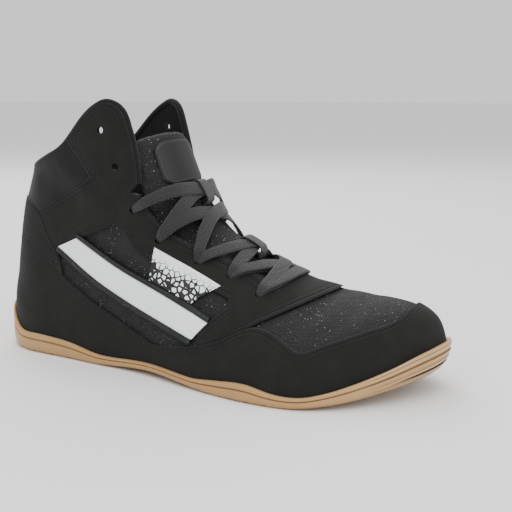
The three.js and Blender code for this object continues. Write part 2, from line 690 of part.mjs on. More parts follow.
function frontLine(at) {
  const column = (key, place) => smoothColumn(SECTIONS, key, place, "at");
  const spot = (place) => new THREE.Vector2(TOE_TIP_X - LENGTH * column("nearX", place), HEIGHT * column("nearZ", place));
  const here = spot(at);
  const along = spot(at + 0.05).sub(spot(at - 0.05)).normalize();
  return { here, outward: new THREE.Vector2(along.y, -along.x), y: BALL_WIDTH * column("ridgeY", at) };
}

// Point over the tongue at place `at`, share w (-1 to 1) across it and height `lift` over its face.
function tonguePoint(at, w, lift) {
  const column = (key) => smoothColumn(TONGUE, key, at, "at");
  const { here, outward, y } = frontLine(at);
  const half = ANKLE_WIDTH * column("half");
  const crown = ANKLE_WIDTH * column("crown");
  const slope = (CROWN_POWER * crown * Math.sign(w) * Math.abs(w) ** (CROWN_POWER - 1)) / half;
  const size = Math.hypot(1, slope);
  const depth = -column("drop") - crown * Math.abs(w) ** CROWN_POWER + lift / size;
  return new THREE.Vector3(here.x + outward.x * depth, y + w * half + (lift * slope) / size, here.y + outward.y * depth);
}

// Sheet that follows the tongue between two lifts, over a stretch of it.
function tongueSheet({ from, to, steps, across, wide, low, high }) {
  const rings = [];
  for (let i = 0; i <= steps; i += 1) {
    const at = mix(from, to, i / steps);
    const ring = [];
    for (let j = 0; j <= across; j += 1) ring.push(tonguePoint(at, mix(-wide, wide, j / across), high).toArray());
    for (let j = across; j >= 0; j -= 1) ring.push(tonguePoint(at, mix(-wide, wide, j / across), low).toArray());
    rings.push(ring);
  }
  return solid(ringBody(rings));
}
// The wall of the upper with its clearance, which the tongue keeps out of
const wallRoom = grownLast(2 * UPPER_WALL)
  .subtract(grownLast(-UPPER_WALL - GAP))
  .subtract(sideCut(offsetRun(openingLine, 1.5 * GAP, true)));
const TONGUE_FORM = { from: TONGUE_FIRST, to: TONGUE_LAST, steps: 18, across: 8, wide: 1, low: -TONGUE_WALL, high: 0 };
const largest = (body) => body.decompose().reduce((best, piece) => (piece.volume() > best.volume() ? piece : best));
const tongueBody = largest(tongueSheet(TONGUE_FORM).subtract(wallRoom));

// Label: a rounded patch on the upper part of the tongue.
const LABEL = { from: 11.5, to: 13.75, width: 34, thick: 1, corner: 7, y: -4 };
function labelBody() {
  const middle = frontLine((LABEL.from + LABEL.to) / 2);
  const [low, high] = [frontLine(LABEL.from).here, frontLine(LABEL.to).here];
  const long = low.distanceTo(high);
  const [w, h, r] = [LABEL.width / 2, long / 2, LABEL.corner];
  const outline = new THREE.Shape();
  outline.moveTo(-w + r, -h);
  outline.lineTo(w - r, -h);
  outline.absarc(w - r, -h + r, r, -Math.PI / 2, 0);
  outline.absarc(w - r, h - r, r, 0, Math.PI / 2);
  outline.absarc(-w + r, h - r, r, Math.PI / 2, Math.PI);
  outline.absarc(-w + r, -h + r, r, Math.PI, 1.5 * Math.PI);
  const block = new THREE.ExtrudeGeometry(outline, { depth: 60, bevelEnabled: false, curveSegments: 4 });
  block.translate(0, 0, -30);
  const up = new THREE.Vector3().subVectors(new THREE.Vector3(high.x, 0, high.y), new THREE.Vector3(low.x, 0, low.y)).normalize();
  const out = new THREE.Vector3(middle.outward.x, 0, middle.outward.y);
  const across = new THREE.Vector3().crossVectors(up, out).normalize();
  const frame = new THREE.Matrix4().makeBasis(across, up, new THREE.Vector3().crossVectors(across, up));
  block.applyMatrix4(frame);
  block.translate(middle.here.x, middle.y + LABEL.y, middle.here.y);
  const pad = tongueSheet({ from: LABEL.from - 0.6, to: LABEL.to + 0.3, steps: 10, across: 8, wide: 0.8, low: GAP, high: GAP + LABEL.thick });
  return pad.intersect(solid(block));
}

// Lace: bars straight across at the laced eyelets and crossed strands between them, all a little above the last.
// Value between low and high where `tooHigh` turns true.
function turningPoint(low, high, tooHigh) {
  let [from, to] = [low, high];
  for (let i = 0; i < 24; i += 1) {
    const middle = (from + to) / 2;
    if (tooHigh(middle)) to = middle;
    else from = middle;
  }
  return from;
}

// Section of the last and share along it that show at a point of the side view.
function sectionPlace([x, z]) {
  const beside = (at) => {
    const [far, near] = [lastPoint(at, 0, "lateral"), lastPoint(at, 1, "lateral")];
    return (near[0] - far[0]) * (z - far[2]) - (near[2] - far[2]) * (x - far[0]);
  };
  const at = turningPoint(1, LAST_SECTION, (place) => beside(place) < 0);
  const s = turningPoint(0, 1, (share) => lastPoint(at, share, "lateral")[2] > z);
  return { at, s };
}

// Stop over the last on section `at`; w runs from -1 (lateral) over the ridge at 0 to 1 (medial).
function surfaceStop(at, w, lift) {
  const point = (place, across) => new THREE.Vector3(...lastPoint(place, 1 - Math.abs(across), across < 0 ? "lateral" : "medial"));
  const along = point(at + 0.05, w).sub(point(at - 0.05, w));
  const across = point(at, w + 0.02).sub(point(at, w - 0.02));
  const normal = new THREE.Vector3().crossVectors(across, along).normalize();
  return { place: point(at, w).addScaledVector(normal, lift), normal };
}

// Flat band along a path: each stop has a place and the direction square to the band's face.
function flatStrand(stops, width, thick) {
  const curve = new THREE.CatmullRomCurve3(stops.map((stop) => stop.place));
  const faces = new THREE.CatmullRomCurve3(stops.map((stop) => stop.normal));
  const steps = stops.length - 1;
  const section = [
    [-0.5, 0],
    [-0.36, 0.5],
    [0.36, 0.5],
    [0.5, 0],
    [0.36, -0.5],
    [-0.36, -0.5],
  ];
  const rings = [];
  for (let i = 0; i <= steps; i += 1) {
    const place = curve.getPoint(i / steps);
    const tangent = curve.getTangent(i / steps);
    const face = faces.getPoint(i / steps);
    const across = new THREE.Vector3().crossVectors(tangent, face).normalize();
    const up = new THREE.Vector3().crossVectors(across, tangent).normalize();
    rings.push(section.map(([w, t]) => place.clone().addScaledVector(across, w * width).addScaledVector(up, t * thick).toArray()));
  }
  return solid(ringBody(rings));
}

function tongueStop(at, w, lift) {
  const place = tonguePoint(at, w, lift);
  return { place, normal: tonguePoint(at, w, lift + 1).sub(place) };
}

const STRAND_STOPS = [0, 0.1, 0.22, 0.36, 0.5, 0.64, 0.78, 0.9, 1];
const LACE_LIFT = GAP + OVERLAY + GAP + LACE_THICK / 2 + 0.6; // middle of the lace over the last
const eyeletPlaces = eyeletPoints.map(sectionPlace);

// Strand from row `from` on one side to row `to` on the other; way is 1 from lateral to medial.
function laceStrand(from, to, way) {
  const [start, end] = [eyeletPlaces[from], eyeletPlaces[to]];
  const stops = STRAND_STOPS.map((share) => {
    const at = mix(start.at, end.at, share) - EYELETS[from].cross * 4 * share * (1 - share);
    return surfaceStop(at, way * mix(start.s - 1, 1 - end.s, share), LACE_LIFT);
  });
  return flatStrand(stops, LACE_WIDTH, LACE_THICK);
}
function laceBody() {
  const lastRow = EYELETS.length - 1;
  let body = laceStrand(lastRow, lastRow, 1);
  for (let k = FIRST_LACED_EYELET; k < lastRow; k += 1) {
    body = body.add(laceStrand(k, k + 1, 1)).add(laceStrand(k, k + 1, -1));
  }
  return body;
}

// Webbing loops on the tongue that hold a crossing of the lace: feet on the tongue, arch over the lace.
const KEEPERS = { lace_keeper_upper: 2, lace_keeper_lower: 4 };
const KEEPER_SLACK = 2.5; // beside the lace, at each side
// From the foot of a leg to the arch: millimetres outside the leg, and rise as a share of the arch.
const KEEPER_PROFILE = [
  { beyond: 0, rise: 0 },
  { beyond: 0, rise: 0.75 },
  { beyond: -1, rise: 1 },
];
function keeperBody(row) {
  const at = mix(eyeletPlaces[row].at, eyeletPlaces[row + 1].at, 0.5) - EYELETS[row].cross;
  const perMillimetre = 0.1 / frontLine(at + 0.05).here.distanceTo(frontLine(at - 0.05).here);
  const leg = LACE_WIDTH / 2 + KEEPER_SLACK + KEEPER_THICK / 2;
  const top = LACE_LIFT + LACE_THICK / 2 + 2 * GAP + KEEPER_THICK / 2;
  const foot = GAP + KEEPER_THICK / 2;
  const over = (reach, rise) => {
    const place = at + reach * perMillimetre;
    const point = tongueStop(place, 0, foot).place.lerp(surfaceStop(place, 0, top).place, rise);
    return [point.x, point.z];
  };
  const centre = [
    ...KEEPER_PROFILE.map(({ beyond, rise }) => over(leg + beyond, rise)),
    ...KEEPER_PROFILE.map(({ beyond, rise }) => over(-leg - beyond, rise)).reverse(),
  ];
  const outline = [...offsetRun(centre, KEEPER_THICK / 2), ...offsetRun(centre, -KEEPER_THICK / 2).reverse()];
  const { y } = frontLine(at);
  return sideCut(outline, y - KEEPER_WIDTH / 2, y + KEEPER_WIDTH / 2);
}

const insoleBody = grownLast(-UPPER_WALL - GAP)
  .intersect(aboveBed(GAP))
  .subtract(aboveBed(GAP + INSOLE));

// Materials
const finish = (color, roughness) => ({ color, roughness, metalness: 0 });
const GUM = finish(0xc9a063, 0.55);
const KNIT = finish(0x17181a, 0.9);
const SUEDE = finish(0x282925, 0.95);
const WHITE = finish(0xeef2f1, 0.5);
const TRIM = finish(0x24262a, 0.7);
const BRAID = finish(0x141414, 0.9);
const FOAM = finish(0x1d1e20, 0.95);

const shoe = new THREE.Group();
function addNode(name, body, look) {
  const mesh = new THREE.Mesh(nodeGeometry(body), new THREE.MeshStandardMaterial(look));
  mesh.name = name;
  shoe.add(mesh);
  return mesh;
}

addNode("outsole", outsole(), GUM);
addNode("insole", insoleBody, FOAM);
addNode("upper", upperBody, KNIT);
addNode("mudguard", mudguardBody, SUEDE);
addNode("heel_counter", counterBody, SUEDE);
addNode("eyestay", eyestayBody, SUEDE);
for (const side of SIDES) {
  const half = halfSpace(side);
  addNode(`side_band_${side}`, bandShell.intersect(stripCut(bandStrip, 0)).intersect(half), WHITE);
  addNode(`band_trim_low_${side}`, bandShell.intersect(stripCut(lowTrimStrip, 0)).intersect(half), TRIM);
  addNode(`band_trim_high_${side}`, bandShell.intersect(stripCut(highTrimStrip, 0)).intersect(half), TRIM);
  addNode(`side_flash_${side}`, drillAll(clearOfBand(overlayShell.intersect(flashCut).intersect(half))), WHITE);
}
addNode("tongue", tongueBody, KNIT);
addNode("tongue_label", labelBody(), TRIM);
for (const [name, keeper] of Object.entries(KEEPERS)) addNode(name, keeperBody(keeper), TRIM);
addNode("lace", laceBody(), BRAID);

// Origin: middle of the shoe's box, on the floor.
const box = new THREE.Box3().setFromObject(shoe);
const middle = box.getCenter(new THREE.Vector3());
shoe.position.set(-middle.x, -middle.y, -box.min.z);

export default shoe;
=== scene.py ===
"""Looks of a wrestling shoe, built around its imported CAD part.

Sizes are millimetres in the shoe's own frame (heel at x = 0, toe towards +X, inner side of the foot +Y,
floor at z = 0) and are moved into the frame of the part when a mesh is written.
"""

import logging
import math
from dataclasses import dataclass
from enum import Enum

import bpy
import numpy as np
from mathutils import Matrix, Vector
from mathutils.bvhtree import BVHTree

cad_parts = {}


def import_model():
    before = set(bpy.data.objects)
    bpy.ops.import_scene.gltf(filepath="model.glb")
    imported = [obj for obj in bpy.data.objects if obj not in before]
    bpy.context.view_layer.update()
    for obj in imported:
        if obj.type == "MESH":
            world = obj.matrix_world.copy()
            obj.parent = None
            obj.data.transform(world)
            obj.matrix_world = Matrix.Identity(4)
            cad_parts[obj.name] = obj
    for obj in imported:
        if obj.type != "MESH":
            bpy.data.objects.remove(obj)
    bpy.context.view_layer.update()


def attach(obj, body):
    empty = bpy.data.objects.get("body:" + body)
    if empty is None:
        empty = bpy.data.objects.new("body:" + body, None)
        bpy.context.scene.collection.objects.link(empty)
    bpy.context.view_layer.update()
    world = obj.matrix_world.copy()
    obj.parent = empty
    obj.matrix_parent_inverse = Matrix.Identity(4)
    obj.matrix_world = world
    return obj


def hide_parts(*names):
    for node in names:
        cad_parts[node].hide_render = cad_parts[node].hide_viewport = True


LOG = logging.getLogger("wrestling_shoe")

LENGTH = 288.0
BALL_WIDTH = 104.0
HEEL_WIDTH = 71.0
ANKLE_WIDTH = 75.0
HEIGHT = 157.0
SOLE_LIP = 3.6
GAP = 0.3

# Sole, in millimetres
ARCH_LIFT = 3
TOE_SPRING = 15
HEEL_BEVEL = 2
SOLE_BED = 3.5
HEEL_WEDGE = 3
INSOLE = 3.5
LIP_HEIGHT = 12
SOLE_LEVEL = .06 * HEIGHT
FLEX_GROOVES = (.12, .17, .22, .655, .69, .725)
HALF_GROOVE = 1.2

# Panels and lace holes, in millimetres
THROAT_EDGE = 6.3
THROAT_END = 7
TRIM_WIDTH = 2.6
EYELET_RADIUS = 2.1
FAR_OFF = 200  # start of a ray beside the shoe
HALF_CUT = 110  # reach of a cutter to each side

ROW_SHIFT = np.array([-143.328, 5.5875, 0.0])
MM = 0.001
TOE_TIP_X = LENGTH - SOLE_LIP - 1.2
TOE_TIP_Y = 0.115 * BALL_WIDTH


class Side(Enum):
    """Side of the foot, with the sign of its y."""

    LATERAL = -1
    MEDIAL = 1


def table(*rows: tuple[float, ...]) -> np.ndarray:
    """Columns of a given table.

    Args:
        rows: the rows of the table.

    Returns:
        Array with one line per column.
    """
    return np.array(rows, float).T


OUTLINE = {
    Side.LATERAL: table((0, .465, 0), (.14, .465, 0), (.28, .46, .03), (.42, .3, .18), (.56, .08, .425),
                        (.68, 0, .535), (.78, 0, .52), (.88, 0, .445), (1, 0, .36)),
    Side.MEDIAL: table((0, .46, 0), (.14, .455, 0), (.28, .4, .015), (.42, .22, .095), (.56, .06, .24),
                       (.68, 0, .375), (.78, 0, .425), (.88, 0, .435), (1, 0, .415)),
}
BACK = table((-.1, .013), (.06, .012), (.19, .012), (.32, .021), (.46, .031), (.56, .043), (.62, .053),
             (.67, .064), (.72, .076), (.8, .084), (1.2, .088))
PINCH = table((0, .08), (.2, .1), (.4, .19), (.55, .16), (.75, .06), (1.2, .02))
# Sections of the last: nearX, nearZ, farX, farZ, ridgeY, round, power, back
SECTIONS = table(
    (0, .16, 0, .16, .115, .7, 2.2, 0), (.0052, .212, .004, -.09, .12, .7, 2.2, 0),
    (.0226, .264, .019, -.09, .125, .68, 2.2, 0), (.0625, .301, .055, -.09, .125, .7, 2.2, 0),
    (.127, .318, .117, -.09, .12, .75, 2.2, 0), (.205, .334, .19, -.09, .09, .8, 2.1, 0),
    (.281, .366, .267, -.09, .065, .82, 2, 0), (.35, .418, .345, -.09, .045, .84, 2, 0),
    (.41, .475, .427, -.09, .03, .8, 2.1, 0), (.457, .535, .52, -.09, .02, .72, 2.3, 0),
    (.489, .599, .615, -.09, .01, .6, 2.6, 0), (.513, .669, .719, -.09, 0, .5, 2.9, .6),
    (.532, .739, .83, -.09, 0, .44, 3.1, .95), (.549, .809, .97, -.09, 0, .4, 3.2, 1),
    (.565, .879, .97, .14, 0, .4, 3.3, 1), (.58, .949, .96, .37, 0, .4, 3.4, 1),
    (.595, 1.019, .94, .59, 0, .4, 3.5, 1), (.61, 1.089, .93, .8, 0, .4, 3.5, 1),
    (.624, 1.159, .92, 1.02, 0, .4, 3.5, 1))
SECTION_AT = np.arange(SECTIONS.shape[1], dtype=float)
NEAR_X, NEAR_Z, FAR_X, FAR_Z, RIDGE_Y, ROUND, POWER, BEHIND = range(8)
LAST_SECTION = len(SECTION_AT) - 1
FIRST_BACK_SECTION = 13
TOE_ROUND = {Side.LATERAL: .225 * LENGTH, Side.MEDIAL: .19 * LENGTH}
HEEL_ROUND = .135 * LENGTH

# Side-view lines, as shares of LENGTH and HEIGHT
COLLAR_LINE = ((-.07, .715), (.06, .72), (.109, .75), (.171, .79), (.22, .835), (.275, .94), (.31, .988),
               (.335, 1), (.36, .972), (.376, .896), (.386, .825), (.393, .76), (.397, .706))
NOTCH_LINE = ((.384, .672), (.402, .664))
EYELETS = ((.319, .899), (.351, .765), (.392, .608), (.447, .503), (.525, .428), (.593, .382), (.66, .328))
CROSSINGS = (0, 0, .55, .05, .5, .5, .45)
FIRST_LACED = 2
MUDGUARD_TOP = ((-.06, .47), (.03, .466), (.075, .455), (.116, .425), (.16, .375), (.204, .327), (.279, .252),
                (.351, .194), (.42, .142), (.46, .124), (.538, .146), (.604, .181), (.655, .229), (.695, .236),
                (.738, .207), (.776, .18), (.81, .203), (.872, .244), (.915, .272), (.929, .31), (.931, .4))
COUNTER_FRONT = ((-.06, .63), (.045, .626), (.105, .6), (.142, .56), (.155, .509), (.171, .455), (.188, .41),
                 (.204, .32), (.21, .26))
COLLAR_PANEL_FOOT = ((.1, .53), (.142, .567), (.201, .62), (.246, .662), (.293, .701))
FLAP_SEAM = ((.295, .739), (.283, .772), (.263, .812), (.244, .859), (.243, .9), (.243, 1))
EYESTAY_FRONT = ((.62, .19), (.683, .255), (.726, .295), (.763, .328), (.8, .36))
BAND_LOW = ((.191, .442), (.265, .366), (.33, .309), (.43, .238), (.55, .174))
BAND_HIGH = ((.246, .484), (.345, .401), (.439, .334), (.515, .281), (.581, .238))
WINDOW_TOP = ((.25, .478), (.266, .494), (.35, .553), (.372, .528), (.403, .47), (.445, .432), (.5, .395),
              (.555, .352), (.61, .318), (.613, .29), (.579, .238))
FLASH_OUTLINE = ((.443, .478), (.486, .438), (.527, .402), (.585, .356), (.545, .31), (.51, .25), (.43, .305),
                 (.436, .39))
LIP = table((0, 2.25), (.02, 2.1), (.045, 1.6), (.077, 1.1), (.137, 1.04), (.22, .9), (.31, .52), (.414, .42),
            (.553, .46), (.615, .7), (.68, .82), (.736, .6), (.79, .5), (.828, .58), (.865, .72), (.924, 1),
            (.964, 1.22), (1, 1.3))
# Side of the sole: rise as a share of the lip, millimetres out, and more at the toe
SOLE_SIDE = table((0, -2.6, -4), (.05, -1.5, -3.6), (.12, -.8, -3.2), (.22, -.3, -2.4), (.25, -.25, -2.7),
                  (.28, -.2, -2.8), (.31, -.1, -2.2), (.34, 0, -1.6), (.44, 0, -.9), (.47, 0, -1.2), (.5, 0, -1.4),
                  (.53, 0, -1), (.56, 0, -.4), (.62, -.1, 0), (.65, -.7, 0), (.68, -.9, 0), (.71, -.6, 0),
                  (.74, 0, 0), (.8, .1, 0), (.92, 0, 0), (.97, -.25, 0), (1, -.7, 0))
# Tongue: place, half width and crown as shares of ANKLE_WIDTH, drop in millimetres
TONGUE = table((5.9, .25, .13, 3.4), (6.6, .33, .18, 2.6), (7.5, .375, .22, 1.8), (8.5, .39, .25, .9),
               (10, .39, .25, .3), (12, .39, .23, .3), (13.6, .385, .21, .3), (14.05, .35, .18, .6),
               (14.2, .3, .14, 1))
CROWN_POWER = 2.5


def smooth_column(places: np.ndarray, values: np.ndarray, at: np.ndarray) -> np.ndarray:
    """Value on a smooth curve through the rows of a table.

    Args:
        places: rising places of the rows.
        values: the column's values there.
        at: places asked for.

    Returns:
        The values at those places.
    """
    at = np.asarray(at, float)
    last = len(places) - 1
    i = np.clip(np.searchsorted(places, at, side="left") - 1, 0, last - 1)
    before = np.maximum(np.arange(last + 1) - 1, 0)
    after = np.minimum(np.arange(last + 1) + 1, last)
    slope = (values[after] - values[before]) / (places[after] - places[before])
    span = places[i + 1] - places[i]
    t = np.clip((at - places[i]) / span, 0, 1)
    rise = values[i + 1] - values[i]
    start, end = slope[i] * span, slope[i + 1] * span
    return values[i] + t * (start + t * (3 * rise - 2 * start - end + t * (start + end - 2 * rise)))


def ease(t: np.ndarray) -> np.ndarray:
    """Smooth step from 0 to 1 over t from 0 to 1."""
    t = np.clip(t, 0, 1)
    return t * t * (3 - 2 * t)


def ease_between(x: np.ndarray, low: float, high: float) -> np.ndarray:
    """Smooth step from 0 at low to 1 at high."""
    return ease((x - low) / (high - low))


def mix(a: np.ndarray, b: np.ndarray, t: np.ndarray) -> np.ndarray:
    """Blend of a and b by t."""
    return a + (b - a) * t


def rounding(t: np.ndarray, power: float) -> np.ndarray:
    """Quarter of a superellipse."""
    return (1 - (1 - np.clip(t, 0, 1)) ** power) ** (1 / power)


def back_x(z: np.ndarray) -> np.ndarray:
    """Back of the heel and collar at height z."""
    return LENGTH * smooth_column(BACK[0], BACK[1], z / HEIGHT)


def half_width(x: np.ndarray, z: np.ndarray, side: Side) -> np.ndarray:
    """Half width of the upper at a point of the side view.

    Args:
        x: places along the shoe.
        z: heights.
        side: side of the foot.

    Returns:
        Half widths in millimetres.
    """
    xs = x / LENGTH
    places, heel_share, ball_share = OUTLINE[side]
    sole = HEEL_WIDTH * smooth_column(places, heel_share, xs) + BALL_WIDTH * smooth_column(places, ball_share, xs)
    pinch = smooth_column(PINCH[0], PINCH[1], z / HEIGHT) * (1 - ease_between(xs, .15, .42))
    shaft = (ANKLE_WIDTH / 2 + 1) * (1 - pinch)
    climb = ease_between(z / HEIGHT, .06, .5) * (1 - ease_between(xs, .4, .72))
    heel = rounding((x - back_x(z)) / HEEL_ROUND, 2.2)
    toe = rounding((TOE_TIP_X - x) / TOE_ROUND[side], 2)
    return mix(side.value * TOE_TIP_Y, mix(sole, shaft, climb), toe) * heel


def last_point(at: np.ndarray, s: np.ndarray, side: Side) -> np.ndarray:
    """Points of the last.

    Args:
        at: section, 0 at the toe tip.
        s: share of the way from the far point to the ridge.
        side: side of the foot.

    Returns:
        Points as rows of x, y, z.
    """
    at, s = np.broadcast_arrays(np.asarray(at, float), np.asarray(s, float))

    def column(key: int) -> np.ndarray:
        return smooth_column(SECTION_AT, SECTIONS[key], at)

    far_z = HEIGHT * column(FAR_Z)
    far_x = np.where(at >= FIRST_BACK_SECTION, back_x(far_z), TOE_TIP_X - LENGTH * column(FAR_X))
    q = mix(np.sin(math.pi / 2 * s), (1 - np.cos(math.pi * s)) / 2, np.clip(column(BEHIND), 0, 1))
    x = mix(far_x, TOE_TIP_X - LENGTH * column(NEAR_X), q)
    z = mix(far_z, HEIGHT * column(NEAR_Z), q)
    share = column(ROUND)
    over = np.clip((q - 1 + share) / share, 0, 1)
    power = column(POWER)
    fall = np.maximum(1 - over ** power, 0) ** (1 / power)
    y = mix(BALL_WIDTH * column(RIDGE_Y), side.value * half_width(x, z, side), fall)
    return np.stack([x, y, z], -1)


def underside_z(x: np.ndarray) -> np.ndarray:
    """Underside of the sole."""
    xs = np.asarray(x, float) / LENGTH
    arch = ARCH_LIFT * np.sin(math.pi * np.clip((xs - .27) / .36, 0, 1)) ** 2
    spring = TOE_SPRING * np.maximum(0, (xs - .74) / .26) ** 1.8
    return arch + spring + HEEL_BEVEL * np.maximum(0, 1 - xs / .06) ** 2


def bed_z(x: np.ndarray) -> np.ndarray:
    """Top of the rubber under the insole."""
    return underside_z(x) + SOLE_BED + HEEL_WEDGE * (1 - ease_between(np.asarray(x) / LENGTH, .2, .45))


def lip_height(x: np.ndarray) -> np.ndarray:
    """Height of the sole's lip over its underside."""
    return LIP_HEIGHT * smooth_column(LIP[0], LIP[1], np.clip(np.asarray(x) / LENGTH, 0, 1))


def in_millimetres(rows: tuple) -> np.ndarray:
    """Side-view points from shares of LENGTH and HEIGHT."""
    return np.array(rows, float) * [LENGTH, HEIGHT]


def smooth_run(points: np.ndarray, steps: int = 8) -> np.ndarray:
    """Smooth run through points, with a number of steps between two of them.

    Args:
        points: rows of coordinates.
        steps: pieces between two points.

    Returns:
        The points of the run.
    """
    padded = np.vstack([points[0], points, points[-1]])
    out = []
    for i in range(len(points) - 1):
        a, b, c, d = padded[i:i + 4]
        for t in np.arange(steps) / steps:
            out.append(.5 * (2 * b + (c - a) * t + (2 * a - 5 * b + 4 * c - d) * t ** 2
                             + (3 * b - a - 3 * c + d) * t ** 3))
    out.append(points[-1])
    return np.array(out)


def offset_run(points: np.ndarray, distance: float, closed: bool = False) -> np.ndarray:
    """Run moved to its left-hand side, seen along its direction."""
    before, after = np.roll(points, 1, 0), np.roll(points, -1, 0)
    if not closed:
        before[0], after[-1] = points[0], points[-1]
    way = after - before
    way /= np.linalg.norm(way, axis=1, keepdims=True)
    return points + distance * np.stack([-way[:, 1], way[:, 0]], 1)


def longer_run(points: np.ndarray, start: float, end: float) -> np.ndarray:
    """Run made longer at both ends along its own direction."""
    out = points.copy()
    first, last = points[0] - points[1], points[-1] - points[-2]
    out[0] += first / np.linalg.norm(first) * start
    out[-1] += last / np.linalg.norm(last) * end
    return out


def run_place(points: np.ndarray, run: np.ndarray, closed: bool = False) -> tuple[np.ndarray, np.ndarray]:
    """Distance of points to a run, and where along the run their nearest point is.

    Args:
        points: rows of x, z.
        run: the run's points.
        closed: whether its last point joins its first.

    Returns:
        Distances and lengths along the run.
    """
    line = np.vstack([run, run[:1]]) if closed else run
    best = np.full(len(points), 1e9)
    along = np.zeros(len(points))
    done = 0.0
    for a, b in zip(line[:-1], line[1:]):
        way = b - a
        size = max(float(np.hypot(*way)), 1e-9)
        t = np.clip(((points - a) @ way) / size ** 2, 0, 1)
        far = np.linalg.norm(points - a - t[:, None] * way, axis=1)
        nearer = far < best
        best[nearer] = far[nearer]
        along[nearer] = done + t[nearer] * size
        done += size
    return best, along


def inside_run(points: np.ndarray, run: np.ndarray) -> np.ndarray:
    """Whether points of the side view lie inside a closed run."""
    x, z = points[:, 0], points[:, 1]
    inside = np.zeros(len(points), bool)
    for (x0, z0), (x1, z1) in zip(run, np.roll(run, -1, 0)):
        if z0 == z1:
            continue
        crosses = (z0 > z) != (z1 > z)
        inside ^= crosses & (x < (x1 - x0) * (z - z0) / (z1 - z0) + x0)
    return inside


def select_only(item: bpy.types.Object) -> None:
    """Makes one object the selected and active one."""
    bpy.ops.object.select_all(action="DESELECT")
    item.select_set(True)
    bpy.context.view_layer.objects.active = item


def set_places(item: bpy.types.Object, places: np.ndarray) -> None:
    """Writes vertex places, given in millimetres in the shoe's frame."""
    item.data.vertices.foreach_set("co", ((places + ROW_SHIFT) * MM).astype(np.float32).ravel())
    item.data.update()


def get_places(item: bpy.types.Object) -> np.ndarray:
    """Vertex places in millimetres in the shoe's frame."""
    flat = np.zeros(len(item.data.vertices) * 3, np.float32)
    item.data.vertices.foreach_get("co", flat)
    return flat.reshape(-1, 3).astype(float) / MM - ROW_SHIFT


def get_normals(item: bpy.types.Object) -> np.ndarray:
    """Vertex normals."""
    return np.array([v.vector for v in item.data.vertex_normals], float)


def in_edit_mode(item: bpy.types.Object, *steps) -> None:
    """Runs mesh operators on everything of an object in edit mode."""
    select_only(item)
    bpy.ops.object.mode_set(mode="EDIT")
    bpy.ops.mesh.select_all(action="SELECT")
    for step in steps:
        step()
    bpy.ops.object.mode_set(mode="OBJECT")


def weld() -> None:
    """Joins vertices in the same place."""
    bpy.ops.mesh.remove_doubles(threshold=2e-6)


def face_outwards() -> None:
    """Turns all normals outwards."""
    bpy.ops.mesh.select_all(action="SELECT")
    bpy.ops.mesh.normals_make_consistent(inside=False)


def close_holes() -> None:
    """Fills the open ends."""
    bpy.ops.mesh.select_all(action="DESELECT")
    bpy.ops.mesh.select_non_manifold(extend=False)
    bpy.ops.mesh.edge_face_add()
    bpy.ops.mesh.select_all(action="SELECT")


def grid_piece(name: str, points: np.ndarray) -> bpy.types.Object:
    """Grid with its vertices put in place.

    Args:
        name: the object's name.
        points: places by row and column.

    Returns:
        The new object.
    """
    rows, columns = points.shape[:2]
    bpy.ops.mesh.primitive_grid_add(x_subdivisions=columns - 1, y_subdivisions=rows - 1, size=1)
    item = bpy.context.active_object
    item.name = name
    item.data.name = name
    set_places(item, points.reshape(-1, 3))
    return item


def side_cut(run: np.ndarray, low_y: float = -HALF_CUT, high_y: float = HALF_CUT) -> bpy.types.Object:
    """Prism of a closed side-view line, pushed through from side to side."""
    bpy.ops.mesh.primitive_circle_add(vertices=len(run), radius=1, fill_type="NGON")
    item = bpy.context.active_object
    set_places(item, np.stack([run[:, 0], np.full(len(run), low_y), run[:, 1]], 1))
    push = {"value": (0, (high_y - low_y) * MM, 0)}
    in_edit_mode(item, lambda: bpy.ops.mesh.extrude_region_move(TRANSFORM_OT_translate=push), face_outwards)
    return item


def carve(item: bpy.types.Object, cutter: bpy.types.Object, keep_inside: bool = False) -> None:
    """Cuts an object with another, or keeps what lies inside it, and throws the cutter away."""
    select_only(item)
    change = item.modifiers.new("carve", "BOOLEAN")
    change.object = cutter
    change.operation = "INTERSECT" if keep_inside else "DIFFERENCE"
    change.solver = "MANIFOLD"
    bpy.ops.object.modifier_apply(modifier=change.name)
    bpy.data.objects.remove(cutter)


def store(item: bpy.types.Object, name: str, values: np.ndarray) -> None:
    """Stores a number on each vertex for the materials."""
    attribute = item.data.attributes.new(name, "FLOAT", "POINT")
    attribute.data.foreach_set("value", values.astype(np.float32))


def finish_piece(item: bpy.types.Object, material: bpy.types.Material, node: str | None,
                 angle: float = 40) -> None:
    """Gives a piece its material, smooth shading and place in the part.

    Args:
        item: the piece.
        material: its material.
        node: CAD node it stands for, or None.
        angle: shading angle in degrees.
    """
    if material.name not in item.data.materials:
        item.data.materials.clear()
        item.data.materials.append(material)
    item.data.validate()
    select_only(item)
    bpy.ops.object.shade_smooth_by_angle(angle=math.radians(angle))
    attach(item, "root")
    if node:
        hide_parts(node)


def linear(hex_colour: str) -> tuple[float, float, float, float]:
    """Linear colour of an sRGB hex code."""
    parts = [int(hex_colour[i:i + 2], 16) / 255 for i in (1, 3, 5)]
    return tuple(c / 12.92 if c <= .04045 else ((c + .055) / 1.055) ** 2.4 for c in parts) + (1.0,)


